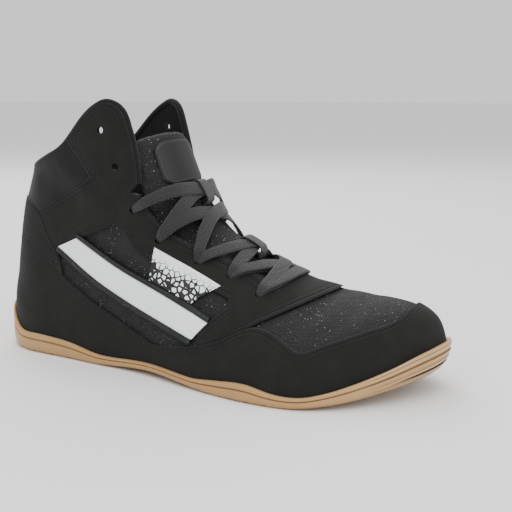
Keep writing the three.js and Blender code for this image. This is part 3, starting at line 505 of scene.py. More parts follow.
class Look:
    """Material under construction, with small functions to add nodes."""

    def __init__(self, name: str, roughness: float, specular: float = .5) -> None:
        self.material = bpy.data.materials.new(name)
        self.material.use_nodes = True
        self.tree = self.material.node_tree
        self.shader = self.tree.nodes["Principled BSDF"]
        self.shader.inputs["Roughness"].default_value = roughness
        self.shader.inputs["Specular IOR Level"].default_value = specular

    def add(self, kind: str, inputs: dict | None = None, **settings) -> bpy.types.Node:
        """Adds a node.

        Args:
            kind: the node's type.
            inputs: values or output sockets for its inputs, by name or number.
            settings: its properties.

        Returns:
            The node.
        """
        node = self.tree.nodes.new(kind)
        for key, value in settings.items():
            setattr(node, key, value)
        for key, value in (inputs or {}).items():
            if isinstance(value, bpy.types.NodeSocket):
                self.tree.links.new(value, node.inputs[key])
            else:
                node.inputs[key].default_value = value
        return node

    def number(self, name: str) -> bpy.types.NodeSocket:
        """Number stored on the mesh."""
        return self.add("ShaderNodeAttribute", attribute_name=name).outputs["Fac"]

    def place(self) -> bpy.types.NodeSocket:
        """Place on the object in metres."""
        return self.add("ShaderNodeNewGeometry").outputs["Position"]

    def math(self, operation: str, a, b=0.0, c=0.0) -> bpy.types.NodeSocket:
        """Result of a sum."""
        return self.add("ShaderNodeMath", {0: a, 1: b, 2: c}, operation=operation).outputs[0]

    def ramp(self, value, low: float, high: float, start: float = 0, end: float = 1) -> bpy.types.NodeSocket:
        """Smooth change from start to end while a value goes from low to high."""
        return self.add("ShaderNodeMapRange", {0: value, 1: low, 2: high, 3: start, 4: end},
                        interpolation_type="SMOOTHSTEP").outputs[0]

    def noise(self, millimetres: float, detail: float = 3, stretch: tuple = (1, 1, 1)) -> bpy.types.NodeSocket:
        """Noise with spots of a given size."""
        spread = self.add("ShaderNodeVectorMath", {0: self.place(), 1: stretch}, operation="MULTIPLY").outputs[0]
        return self.add("ShaderNodeTexNoise", {"Vector": spread, "Scale": 1 / (millimetres * MM),
                                               "Detail": detail}).outputs[0]

    def cells(self, millimetres: float, feature: str, output: str = "Distance",
              randomness: float = 1) -> bpy.types.NodeSocket:
        """Cell pattern with cells of a given size."""
        return self.add("ShaderNodeTexVoronoi", {"Vector": self.place(), "Scale": 1 / (millimetres * MM),
                                                 "Randomness": randomness}, feature=feature).outputs[output]

    def blend(self, share, a, b) -> bpy.types.NodeSocket:
        """Colour between a and b."""
        return self.add("ShaderNodeMix", {0: share, 6: a, 7: b}, data_type="RGBA").outputs[2]

    def bump(self, height, millimetres: float, below=None) -> bpy.types.NodeSocket:
        """Small relief of a given depth."""
        inputs = {"Height": height, "Distance": millimetres * MM, "Strength": 1.0}
        if below is not None:
            inputs["Normal"] = below
        return self.add("ShaderNodeBump", inputs).outputs[0]

    def wear(self, colour=None, normal=None, roughness=None) -> bpy.types.Material:
        """Puts colour, relief and roughness on the shader."""
        for name, value in (("Base Color", colour), ("Normal", normal), ("Roughness", roughness)):
            if value is None:
                continue
            if isinstance(value, bpy.types.NodeSocket):
                self.tree.links.new(value, self.shader.inputs[name])
            else:
                self.shader.inputs[name].default_value = value
        return self.material


@dataclass(frozen=True)
class Suede:
    """Brushed synthetic nubuck with a rolled, stitched edge."""

    base: str = "#0f0f0e"
    light: str = "#1a1a18"
    fold: float = 1.6  # width of the folded edge, mm

    def build(self, name: str) -> bpy.types.Material:
        """Makes the material."""
        look = Look(name, .88, .28)
        look.shader.inputs["Sheen Weight"].default_value = .04
        look.shader.inputs["Sheen Roughness"].default_value = .5
        edge = look.number("edge_mm")
        nap = look.noise(9, 4)
        grain = look.noise(.7, 3)
        tone = look.math("ADD", look.ramp(nap, .3, .75, 0, .45), look.ramp(grain, .3, .75, 0, .4))
        colour = look.blend(tone, linear(self.base), linear(self.light))
        fold = look.math("ABSOLUTE", look.math("SUBTRACT", edge, self.fold * 1.3))
        seam = look.ramp(fold, 0, .55, 1, 0)
        second = look.ramp(look.math("ABSOLUTE", look.math("SUBTRACT", edge, self.fold * 2.6)), 0, .4, 1, 0)
        colour = look.blend(look.math("MULTIPLY", look.math("ADD", seam, second), .5), colour, linear("#0b0b0b"))
        rim = look.ramp(edge, 0, .5, 1, 0)
        colour = look.blend(look.math("MULTIPLY", rim, .5), colour, linear("#262522"))
        relief = look.bump(grain, .07)
        relief = look.bump(nap, .25, relief)
        relief = look.bump(look.math("ADD", seam, look.math("MULTIPLY", second, .5)), -.5, relief)
        relief = look.bump(look.ramp(edge, 0, .8), .45, relief)
        return look.wear(colour, relief)


@dataclass(frozen=True)
class Mesh:
    """Knitted mesh with small bright specks painted on as glints of light on its fibres."""

    base: str = "#060607"
    # colour of the painted glints on the threads
    thread: str = "#999b9e"
    pitch: float = 1.5
    share: float = .65

    def build(self, name: str) -> bpy.types.Material:
        """Makes the material."""
        look = Look(name, .7, .4)
        dots = look.cells(self.pitch, "F1", randomness=.45)
        tint = look.cells(self.pitch, "F1", "Color", .45)
        chosen = look.ramp(look.add("ShaderNodeSeparateColor", {0: tint}).outputs[0], 1 - self.share, 1, 0, 1)
        patch = look.ramp(look.noise(14, 2), .33, .55)
        # Painted glints: bright specks on chosen cells in random patches, standing in for light catching the fibres.
        painted_glint = look.math("MULTIPLY", look.ramp(dots, .1, .24, 1, 0), look.math("MULTIPLY", chosen, patch))
        weave = look.cells(self.pitch, "DISTANCE_TO_EDGE", randomness=.45)
        colour = look.blend(look.ramp(weave, 0, .25), linear("#121315"), linear(self.base))
        colour = look.blend(painted_glint, colour, linear(self.thread))
        relief = look.bump(look.ramp(weave, 0, .3, 1, 0), .3)
        relief = look.bump(look.noise(12, 2), .5, relief)
        return look.wear(colour, relief)


@dataclass(frozen=True)
class CollarCloth:
    """Smooth brushed cloth over the padded collar."""

    base: str = "#090a09"

    def build(self, name: str) -> bpy.types.Material:
        """Makes the material."""
        look = Look(name, .85, .25)
        look.shader.inputs["Sheen Weight"].default_value = .1
        edge = look.number("edge_mm")
        cloth = look.noise(.6, 2)
        colour = look.blend(look.noise(16, 3), linear(self.base), linear("#101110"))
        seam = look.ramp(look.math("ABSOLUTE", look.math("SUBTRACT", edge, 2.2)), 0, .5, 1, 0)
        colour = look.blend(look.math("MULTIPLY", seam, .7), colour, linear("#070707"))
        relief = look.bump(cloth, .05)
        relief = look.bump(look.noise(22, 2), .8, relief)
        relief = look.bump(seam, -.45, relief)
        return look.wear(colour, relief)


@dataclass(frozen=True)
class WhiteFilm:
    """White synthetic leather of the band."""

    base: str = "#eef2f1"

    def build(self, name: str) -> bpy.types.Material:
        """Makes the material."""
        look = Look(name, .42, .5)
        edge = look.number("edge_mm")
        dirt = look.ramp(look.noise(5, 4), .55, .75, 0, .22)
        colour = look.blend(dirt, linear(self.base), linear("#c9cac6"))
        colour = look.blend(look.ramp(edge, 0, .7, .6, 0), colour, linear("#8f9294"))
        relief = look.bump(look.noise(.8, 2), .05)
        relief = look.bump(look.ramp(edge, 0, .8), .4, relief)
        return look.wear(colour, relief)


@dataclass(frozen=True)
class CracklePrint:
    """White print broken up by black cracks near the band."""

    base: str = "#eef2f1"
    cell: float = 3.0

    def build(self, name: str) -> bpy.types.Material:
        """Makes the material."""
        look = Look(name, .5, .45)
        near = look.number("near_band")
        crack = look.cells(self.cell, "DISTANCE_TO_EDGE")
        width = look.ramp(near, 0, 1, .02, .2)
        lines = look.math("LESS_THAN", crack, width)
        some = look.math("MULTIPLY", lines, look.ramp(near, .02, .4))
        colour = look.blend(some, linear(self.base), linear("#141516"))
        edge = look.number("edge_mm")
        relief = look.bump(look.ramp(edge, 0, .7), .3)
        return look.wear(colour, look.bump(some, -.1, relief))


@dataclass(frozen=True)
class Trim:
    """Dark raised moulded edge beside the band."""

    def build(self, name: str) -> bpy.types.Material:
        """Makes the material."""
        look = Look(name, .55, .4)
        edge = look.number("edge_mm")
        colour = look.blend(look.ramp(edge, .2, 1), linear("#0f1012"), linear("#1d1f23"))
        return look.wear(colour, look.bump(look.ramp(edge, 0, 1.2), .9))


@dataclass(frozen=True)
class Gum:
    """Translucent tan gum rubber, paler at the toe, with painted shade in its side groove and toe ribs."""

    base: str = "#a57c4a"
    pale: str = "#bf9c6c"

    def build(self, name: str) -> bpy.types.Material:
        """Makes the material."""
        look = Look(name, .42, .5)
        look.shader.inputs["Coat Weight"].default_value = .15
        look.shader.inputs["Coat Roughness"].default_value = .35
        rise, toe = look.number("rise"), look.number("toe")
        mottle = look.noise(7, 4)
        colour = look.blend(look.math("ADD", look.math("MULTIPLY", toe, .6), look.math("MULTIPLY", mottle, .4)),
                            linear(self.base), linear(self.pale))
        groove = look.ramp(look.math("ABSOLUTE", look.math("SUBTRACT", rise, .68)), 0, .07, 1, 0)
        ribs = look.math("PINGPONG", rise, .11)
        ribs = look.math("MULTIPLY", look.ramp(ribs, .0, .035, 1, 0), look.ramp(toe, .5, .9))
        # Painted shade: the side groove and the toe ribs are coloured darker brown, where shade falls in them.
        painted_groove_shade = look.math("MAXIMUM", look.math("MULTIPLY", groove, .55), look.math("MULTIPLY", ribs, .5))
        colour = look.blend(painted_groove_shade, colour, linear("#5f4223"))
        foot = look.ramp(rise, .0, .25, .5, 0)
        colour = look.blend(foot, colour, linear("#7a5630"))
        tread = look.cells(3.2, "DISTANCE_TO_EDGE", randomness=0)
        under = look.ramp(rise, -.2, .02, 1, 0)
        relief = look.bump(look.noise(2.5, 3), .06)
        relief = look.bump(look.math("MULTIPLY", ribs, 1.0), -.5, relief)
        relief = look.bump(look.math("MULTIPLY", look.ramp(tread, .02, .12), under), .5, relief)
        return look.wear(colour, relief)


@dataclass(frozen=True)
class Braid:
    """Flat woven lace or webbing, with ribs that meet in points, painted lighter on their raised threads as
    highlights and darker in the gaps as shade.
    """

    base: str = "#040404"
    # painted highlight colour on the crests of the threads
    light: str = "#151617"
    pitch: float = 1.5
    lanes: float = 4

    def build(self, name: str) -> bpy.types.Material:
        """Makes the material."""
        look = Look(name, .6, .45)
        look.shader.inputs["Sheen Weight"].default_value = .15
        along, across = look.number("along_mm"), look.number("across")
        lane = look.math("PINGPONG", look.math("MULTIPLY", across, self.lanes), .5)
        slant = look.math("ADD", look.math("MULTIPLY", along, 1 / self.pitch), look.math("MULTIPLY", lane, 1.6))
        thread = look.math("PINGPONG", slant, .5)
        gap = look.ramp(lane, 0, .12, 1, 0)
        height = look.math("SUBTRACT", look.ramp(thread, .05, .4), look.math("MULTIPLY", gap, .8))
        # Painted highlight and shade: colour follows the relief, lighter on raised threads and darker in the gaps.
        colour = look.blend(look.ramp(height, .2, 1), linear(self.base), linear(self.light))
        return look.wear(colour, look.bump(height, .32))


@dataclass(frozen=True)
class Plain:
    """Plain cloth, foam or paper in one colour."""

    base: str
    roughness: float = .9
    grain: float = .8
    depth: float = .08

    def build(self, name: str) -> bpy.types.Material:
        """Makes the material."""
        look = Look(name, self.roughness, .3)
        return look.wear(linear(self.base), look.bump(look.noise(self.grain, 2), self.depth))


@dataclass(frozen=True)
class Badge:
    """Smooth rubbery patch with a raised rim."""

    def build(self, name: str) -> bpy.types.Material:
        """Makes the material."""
        look = Look(name, .5, .45)
        edge = look.number("edge_mm")
        line = look.ramp(look.math("ABSOLUTE", look.math("SUBTRACT", edge, 1.5)), .1, .45, 1, 0)
        colour = look.blend(look.math("MULTIPLY", line, .8), linear("#0b0b0c"), linear("#2d2e30"))
        relief = look.bump(look.noise(.5, 2), .04)
        relief = look.bump(look.ramp(edge, 0, .9), .5, relief)
        return look.wear(colour, look.bump(line, .2, relief))


@dataclass(frozen=True)
class Trough:
    """Soft crease in the side view: where it runs, how wide and deep it is, and on which sides."""

    start: tuple[float, float]
    end: tuple[float, float]
    width: float
    depth: float


# Creases of wear: ankle, quarter and vamp
TROUGHS = (
    Trough((.16, .70), (.24, .63), 6.0, 1.3),
    Trough((.10, .64), (.16, .66), 6.0, .9),
    Trough((.22, .77), (.30, .66), 5.5, -.9),
    Trough((.14, .75), (.20, .72), 6.0, .8),
    Trough((.30, .70), (.36, .60), 5.0, .8),
    Trough((.52, .36), (.55, .28), 4.5, .7),
    Trough((.66, .26), (.72, .315), 5.0, 1.2),
    Trough((.72, .20), (.78, .30), 5.0, .9),
    Trough((.62, .15), (.67, .225), 5.0, .8),
    Trough((.80, .22), (.84, .30), 5.5, .8),
    Trough((.06, .30), (.11, .20), 7.0, .7),
)


class LastForm:
    """Dense smooth form of the foot that every layer of the upper follows."""

    ROWS_PER_SECTION = 9
    ACROSS = 56

    def __init__(self) -> None:
        at = np.linspace(0, LAST_SECTION, LAST_SECTION * self.ROWS_PER_SECTION + 1)[:, None]
        share = np.linspace(0, 1, self.ACROSS + 1)[None, :]
        lateral = last_point(at, share, Side.LATERAL)
        medial = last_point(at, share[:, -2::-1], Side.MEDIAL)
        points = np.concatenate([lateral, medial, lateral[:, :1]], 1)
        self.item = grid_piece("last_form", points)
        in_edit_mode(self.item, weld, close_holes, face_outwards)
        self.places = get_places(self.item)
        self.normals = get_normals(self.item)
        self.creased = self.places - self.normals * self._crease_depth()[:, None]
        self.tree = BVHTree.FromPolygons(self.places.tolist(), [list(p.vertices) for p in self.item.data.polygons])

    def _crease_depth(self) -> np.ndarray:
        """Depth of the creases at each vertex."""
        depth = np.zeros(len(self.places))
        view = self.places[:, [0, 2]]
        for trough in TROUGHS:
            run = in_millimetres((trough.start, trough.end))
            far, _ = run_place(view, run)
            depth += trough.depth * np.exp(-(far / trough.width) ** 2)
        return depth

    def block(self, offset: float, inner: bool = False) -> bpy.types.Object:
        """Closed body grown by offset, with its second material slot on an inner surface."""
        select_only(self.item)
        bpy.ops.object.duplicate()
        copy = bpy.context.active_object
        set_places(copy, self.creased + self.normals * offset)
        if inner:
            copy.data.polygons.foreach_set("material_index", np.ones(len(copy.data.polygons), np.int32))
        return copy

    def depth_under(self, point: np.ndarray) -> tuple[np.ndarray, np.ndarray, float]:
        """Nearest point of the last, its normal and how far outside of it a point lies."""
        place, normal, _, _ = self.tree.find_nearest(point.tolist())
        place, normal = np.array(place), np.array(normal)
        return place, normal, float(np.dot(point - place, normal))

    def drop(self) -> None:
        """Throws the helper form away."""
        bpy.data.objects.remove(self.item)


def above_bed(lift: float) -> bpy.types.Object:
    """Everything above a line that follows the bed."""
    x = np.linspace(-.05, 1.05, 60) * LENGTH
    line = np.stack([x, bed_z(x) + lift], 1)
    return side_cut(np.vstack([line, [x[-1], 1.6 * HEIGHT], [x[0], 1.6 * HEIGHT]]))


def below_run(run: np.ndarray) -> np.ndarray:
    """Closed run of everything below a line."""
    return np.vstack([run, [1.1 * LENGTH, run[-1][1]], [1.1 * LENGTH, -.1 * HEIGHT], [-.1 * LENGTH, -.1 * HEIGHT]])


def behind_run(run: np.ndarray) -> np.ndarray:
    """Closed run of everything behind a line."""
    return np.vstack([run, [run[-1][0], -.1 * HEIGHT], [-.1 * LENGTH, -.1 * HEIGHT], [-.1 * LENGTH, run[0][1]]])


class Lines:
    """Side-view lines of the panels in millimetres."""

    def __init__(self) -> None:
        self.collar = smooth_run(in_millimetres(COLLAR_LINE))
        self.eyelets = in_millimetres(EYELETS)
        throat = longer_run(smooth_run(self.eyelets[FIRST_LACED:]), 0, THROAT_END)
        self.throat = offset_run(throat, THROAT_EDGE)
        end = self.throat[-1]
        rest = np.array([end + [3, 5], end + [6, .3 * HEIGHT], [.8 * LENGTH, 1.7 * HEIGHT],
                         [-.1 * LENGTH, 1.7 * HEIGHT]])
        self.opening = np.vstack([self.collar, in_millimetres(NOTCH_LINE), self.throat, rest])
        self.mudguard = smooth_run(in_millimetres(MUDGUARD_TOP))
        self.counter = smooth_run(in_millimetres(COUNTER_FRONT))
        self.panel_foot = smooth_run(in_millimetres(COLLAR_PANEL_FOOT))
        self.flap_seam = smooth_run(in_millimetres(FLAP_SEAM))
        self.eyestay_front = in_millimetres(EYESTAY_FRONT)
        self.band_low = smooth_run(in_millimetres(BAND_LOW))
        self.band_high = smooth_run(in_millimetres(BAND_HIGH))
        self.flash = in_millimetres(FLASH_OUTLINE)
        middle = (self.band_low + self.band_high) / 2
        self.window = np.vstack([in_millimetres(WINDOW_TOP), middle[::-1]])
        self.low_window = np.vstack([self.band_low[:1], middle, [self.band_low[-1][0], 0], [self.band_low[0][0], 0]])
        self.eyestay = np.vstack([self.panel_foot, self.flap_seam, [.8 * LENGTH, HEIGHT],
                                  self.eyestay_front[::-1], [.5 * LENGTH, 0], [.1 * LENGTH, 0]])
        self.collar_panel = np.vstack([[-.1 * LENGTH, self.counter[0][1]], self.counter[:24], self.panel_foot[8:],
                                       self.flap_seam, [self.flap_seam[-1][0], 1.7 * HEIGHT],
                                       [-.1 * LENGTH, 1.7 * HEIGHT]])
        self.low_trim = (offset_run(self.band_low, -GAP - TRIM_WIDTH), offset_run(self.band_low, -GAP))
        self.high_trim = (offset_run(self.band_high, GAP), offset_run(self.band_high, GAP + TRIM_WIDTH))

    @staticmethod
    def strip(low: np.ndarray, high: np.ndarray, grow: float) -> np.ndarray:
        """Closed run of a strip between two lines."""
        return np.vstack([longer_run(offset_run(low, -grow), grow, grow),
                          longer_run(offset_run(high, grow), grow, grow)[::-1]])


class Upper:
    """Wall, collar panel and overlays of the upper."""

    WALL = 2.0
    OVERLAY = 1.2
    BAND = 2.2

    def __init__(self, form: LastForm, lines: Lines) -> None:
        self.form = form
        self.lines = lines
        self.suede = Suede().build("brushed_nubuck")
        self.film = WhiteFilm().build("white_synthetic_leather")
        self.trim = Trim().build("moulded_band_edge")
        self.print = CracklePrint().build("crackle_print")
        self.mesh = Mesh().build("knitted_mesh")
        self.cloth = CollarCloth().build("collar_cloth")
        self.liner = Plain("#0e0f10").build("liner_cloth")

    def shell(self, name: str, outer: float, inner: float, runs: list[np.ndarray]) -> bpy.types.Object:
        """Layer between two offsets of the last, inside side-view runs.

        Args:
            name: name of the piece.
            outer: offset of its outer face.
            inner: offset of its inner face.
            runs: closed side-view runs that it stays inside.

        Returns:
            The new object.
        """
        item = self.form.block(outer)
        item.name = name
        item.data.name = name
        carve(item, self.form.block(inner, inner=True))
        for run in runs:
            carve(item, side_cut(run), keep_inside=True)
        carve(item, above_bed(GAP), keep_inside=True)
        return item

    def drill(self, item: bpy.types.Object, radius: float = EYELET_RADIUS) -> None:
        """Punches the lace holes on both sides."""
        for x, z in self.lines.eyelets:
            for side in Side:
                place, normal = self.surface(x, z, side)
                bpy.ops.mesh.primitive_cylinder_add(vertices=24, radius=radius * MM, depth=14 * MM)
                pin = bpy.context.active_object
                turn = Vector((0, 0, 1)).rotation_difference(Vector(normal)).to_matrix()
                spots = np.array([list(turn @ v.co) for v in pin.data.vertices]) / MM + place
                set_places(pin, spots)
                carve(item, pin)

    def surface(self, x: float, z: float, side: Side) -> tuple[np.ndarray, np.ndarray]:
        """Point and normal of the last straight in from one side."""
        hit, normal, _, _ = self.form.tree.ray_cast((x, side.value * FAR_OFF, z), (0, -side.value, 0))
        return np.array(hit), np.array(normal)

    def edge(self, item: bpy.types.Object, *runs: np.ndarray) -> None:
        """Stores the distance to the nearest panel line."""
        view = get_places(item)[:, [0, 2]]
        far = np.min([run_place(view, run)[0] for run in runs], axis=0)
        store(item, "edge_mm", far)

    def build(self) -> None:
        """Makes every layer."""
        lines = self.lines
        wall = self.form.block(0)
        wall.name = wall.data.name = "upper_wall"
        hollow = self.form.block(-self.WALL, inner=True)
        for item in (wall, hollow):
            item.data.materials.append(self.mesh)
            item.data.materials.append(self.liner)
        carve(wall, hollow)
        carve(wall, above_bed(GAP), keep_inside=True)
        carve(wall, side_cut(lines.opening))
        self.drill(wall)
        finish_piece(wall, self.mesh, "upper")

        panel = self.shell("collar_panel", .9, .05, [lines.collar_panel])
        carve(panel, side_cut(lines.opening))
        self.edge(panel, lines.counter, lines.panel_foot, lines.flap_seam)
        finish_piece(panel, self.cloth, None)

        guard = self.shell("mudguard_suede", GAP + self.OVERLAY, GAP, [below_run(lines.mudguard)])
        self.edge(guard, lines.mudguard)
        finish_piece(guard, self.suede, "mudguard")

        above_guard = below_run(offset_run(lines.mudguard, GAP))
        counter = self.shell("heel_counter_suede", GAP + self.OVERLAY, GAP, [behind_run(lines.counter)])
        carve(counter, side_cut(above_guard))
        self.edge(counter, lines.counter, offset_run(lines.mudguard, GAP))
        finish_piece(counter, self.suede, "heel_counter")

        stay = self.shell("eyestay_suede", GAP + self.OVERLAY, GAP, [lines.eyestay])
        strips = [(lines.band_low, lines.band_high), lines.low_trim, lines.high_trim]
        cuts = [lines.opening, above_guard, behind_run(offset_run(lines.counter, GAP)), lines.window,
                lines.low_window, offset_run(lines.flash, GAP, True)]
        cuts += [lines.strip(low, high, GAP) for low, high in strips]
        for run in cuts:
            carve(stay, side_cut(run))
        self.drill(stay)
        self.edge(stay, lines.opening[:len(lines.collar) + 3 + len(lines.throat)], lines.panel_foot, lines.flap_seam,
                  lines.eyestay_front, lines.window, lines.strip(*strips[2], GAP))
        finish_piece(stay, self.suede, "eyestay")
        self.build_band()

    def build_band(self) -> None:
        """Makes the white band, its trims and the printed flash of both sides."""
        lines = self.lines
        trims = (("low", lines.low_trim), ("high", lines.high_trim))
        for side in Side:
            word = side.name.lower()
            low_y, high_y = sorted((0, side.value * HALF_CUT))

            def half(item: bpy.types.Object) -> None:
                run = np.array([[-50, -50], [350, -50], [350, 300], [-50, 300]], float)
                carve(item, side_cut(run, low_y, high_y), keep_inside=True)

            band = self.shell(f"band_film_{word}", self.BAND, GAP, [lines.strip(lines.band_low, lines.band_high, 0)])
            half(band)
            self.edge(band, lines.band_low, lines.band_high)
            finish_piece(band, self.film, f"side_band_{word}")
            for name, (low, high) in trims:
                trim = self.shell(f"band_edge_{name}_{word}", self.BAND + .4, GAP, [lines.strip(low, high, 0)])
                half(trim)
                self.edge(trim, low, high)
                finish_piece(trim, self.trim, f"band_trim_{name}_{word}")
            flash = self.shell(f"flash_print_{word}", GAP + self.OVERLAY, GAP, [lines.flash])
            half(flash)
            for low, high in [(lines.band_low, lines.band_high), lines.low_trim, lines.high_trim]:
                carve(flash, side_cut(lines.strip(low, high, GAP)))
            self.drill(flash)
            view = get_places(flash)[:, [0, 2]]
            far, _ = run_place(view, lines.band_high)
            store(flash, "near_band", 1 - ease_between(far, 3, 22))
            store(flash, "edge_mm", run_place(view, lines.flash, True)[0])
            finish_piece(flash, self.print, f"side_flash_{word}")


class CollarRoll:
    """Padded roll on the rim of the collar."""

    RADIUS = 2.1
    AROUND = 12

    def __init__(self, form: LastForm, lines: Lines, material: bpy.types.Material) -> None:
        self.form = form
        self.lines = lines
        self.material = material

    def rim(self) -> np.ndarray:
        """Rim of the collar from the lateral flap round the back to the medial one."""
        run = self.lines.collar[::-1]
        run = run[(run[:, 0] > back_x(run[:, 1]) + .6)]
        halves = {}
        for side in Side:
            points = []
            for x, z in run:
                hit, normal, _, _ = self.form.tree.ray_cast((x, side.value * FAR_OFF, z), (0, -side.value, 0))
                if hit is not None:
                    points.append(np.array(hit) - 1.1 * np.array(normal))
            halves[side] = points
        z = float(self.lines.collar[8][1])
        back = [np.array([float(back_x(np.array(z))) + 1.1, 0, z])]
        return np.array(halves[Side.LATERAL] + back + halves[Side.MEDIAL][::-1])

    def build(self) -> None:
        """Makes the roll."""
        rim = self.rim()
        tangent = np.gradient(rim, axis=0)
        tangent /= np.linalg.norm(tangent, axis=1, keepdims=True)
        out = np.array([self.form.depth_under(p)[1] for p in rim])
        out -= tangent * np.sum(out * tangent, 1, keepdims=True)
        out /= np.linalg.norm(out, axis=1, keepdims=True)
        up = np.cross(out, tangent)
        turn = np.linspace(0, 2 * math.pi, self.AROUND + 1)
        ring = (out[:, None] * np.cos(turn)[None, :, None] + up[:, None] * np.sin(turn)[None, :, None])
        item = grid_piece("collar_roll", rim[:, None] + ring * self.RADIUS)
        in_edit_mode(item, weld, close_holes, face_outwards)
        store(item, "edge_mm", np.full(len(item.data.vertices), 20.0))
        finish_piece(item, self.material, None, 60)


class Sole:
    """Gum cup sole and the sock liner on its bed."""

    STATIONS = 150

    def outline(self, out: float, toe: float) -> np.ndarray:
        """Closed outline in plan, grown outwards."""
        level = SOLE_LEVEL
        x = mix(float(back_x(np.array(level))), TOE_TIP_X,
                (1 - np.cos(math.pi * np.arange(self.STATIONS + 1) / self.STATIONS)) / 2)
        lateral = np.stack([x, -half_width(x, np.full_like(x, level), Side.LATERAL)], 1)
        medial = np.stack([x, half_width(x, np.full_like(x, level), Side.MEDIAL)], 1)[-2:0:-1]
        ring = np.vstack([lateral, medial])
        way = np.roll(ring, -1, 0) - np.roll(ring, 1, 0)
        way /= np.linalg.norm(way, axis=1, keepdims=True)
        by = SOLE_LIP + out + toe * ease_between(ring[:, 0] / LENGTH, .84, .96)
        grown = ring + np.stack([way[:, 1], -way[:, 0]], 1) * by[:, None]
        return np.vstack([grown, grown[:1]])

    def build(self, form: LastForm) -> None:
        """Makes the sole and the liner."""
        rings = []
        for rise, out, toe in SOLE_SIDE.T:
            flat = self.outline(out, toe)
            z = underside_z(flat[:, 0]) + rise * lip_height(flat[:, 0])
            rings.append(np.column_stack([flat, z]))
        count = len(rings[0]) - 1
        bottom, top = rings[0], rings[-1]

        def filled(ring: np.ndarray, steps: int = 10) -> list[np.ndarray]:
            """Rings that shrink across the shoe to its middle line."""
            mirror = ring[(count - np.arange(count + 1)) % count]
            middle = (ring + mirror) / 2
            shrunk = []
            for k in range(1, steps + 1):
                spot = mix(ring, middle, k / steps)
                shrunk.append(spot)
            return shrunk

        under = []
        for ring in filled(bottom):
            spot = ring.copy()
            spot[:, 2] = underside_z(spot[:, 0])
            under.append(spot)
        cover = filled(top)
        points = np.array(under[::-1] + rings + cover)
        item = grid_piece("gum_cup_sole", points)
        in_edit_mode(item, weld, face_outwards)
        cavity = form.block(1.8)
        carve(cavity, above_bed(0), keep_inside=True)
        carve(item, cavity)
        for share in FLEX_GROOVES:
            low, high = share * LENGTH - HALF_GROOVE, share * LENGTH + HALF_GROOVE
            run = np.array([[low, -1], [high, -1], [high, 1], [low, 1]], float)
            carve(item, side_cut(run))
        places = get_places(item)
        rise = (places[:, 2] - underside_z(places[:, 0])) / lip_height(places[:, 0])
        store(item, "rise", rise)
        store(item, "toe", ease_between(places[:, 0] / LENGTH, .8, .96))
        finish_piece(item, Gum().build("gum_rubber"), "outsole", 35)

        liner = form.block(-2.3)
        liner.name = liner.data.name = "sock_liner"
        carve(liner, above_bed(GAP), keep_inside=True)
        carve(liner, above_bed(GAP + INSOLE))
        finish_piece(liner, Plain("#1d1e20", .95, 1.2, .15).build("sock_liner_foam"), "insole")


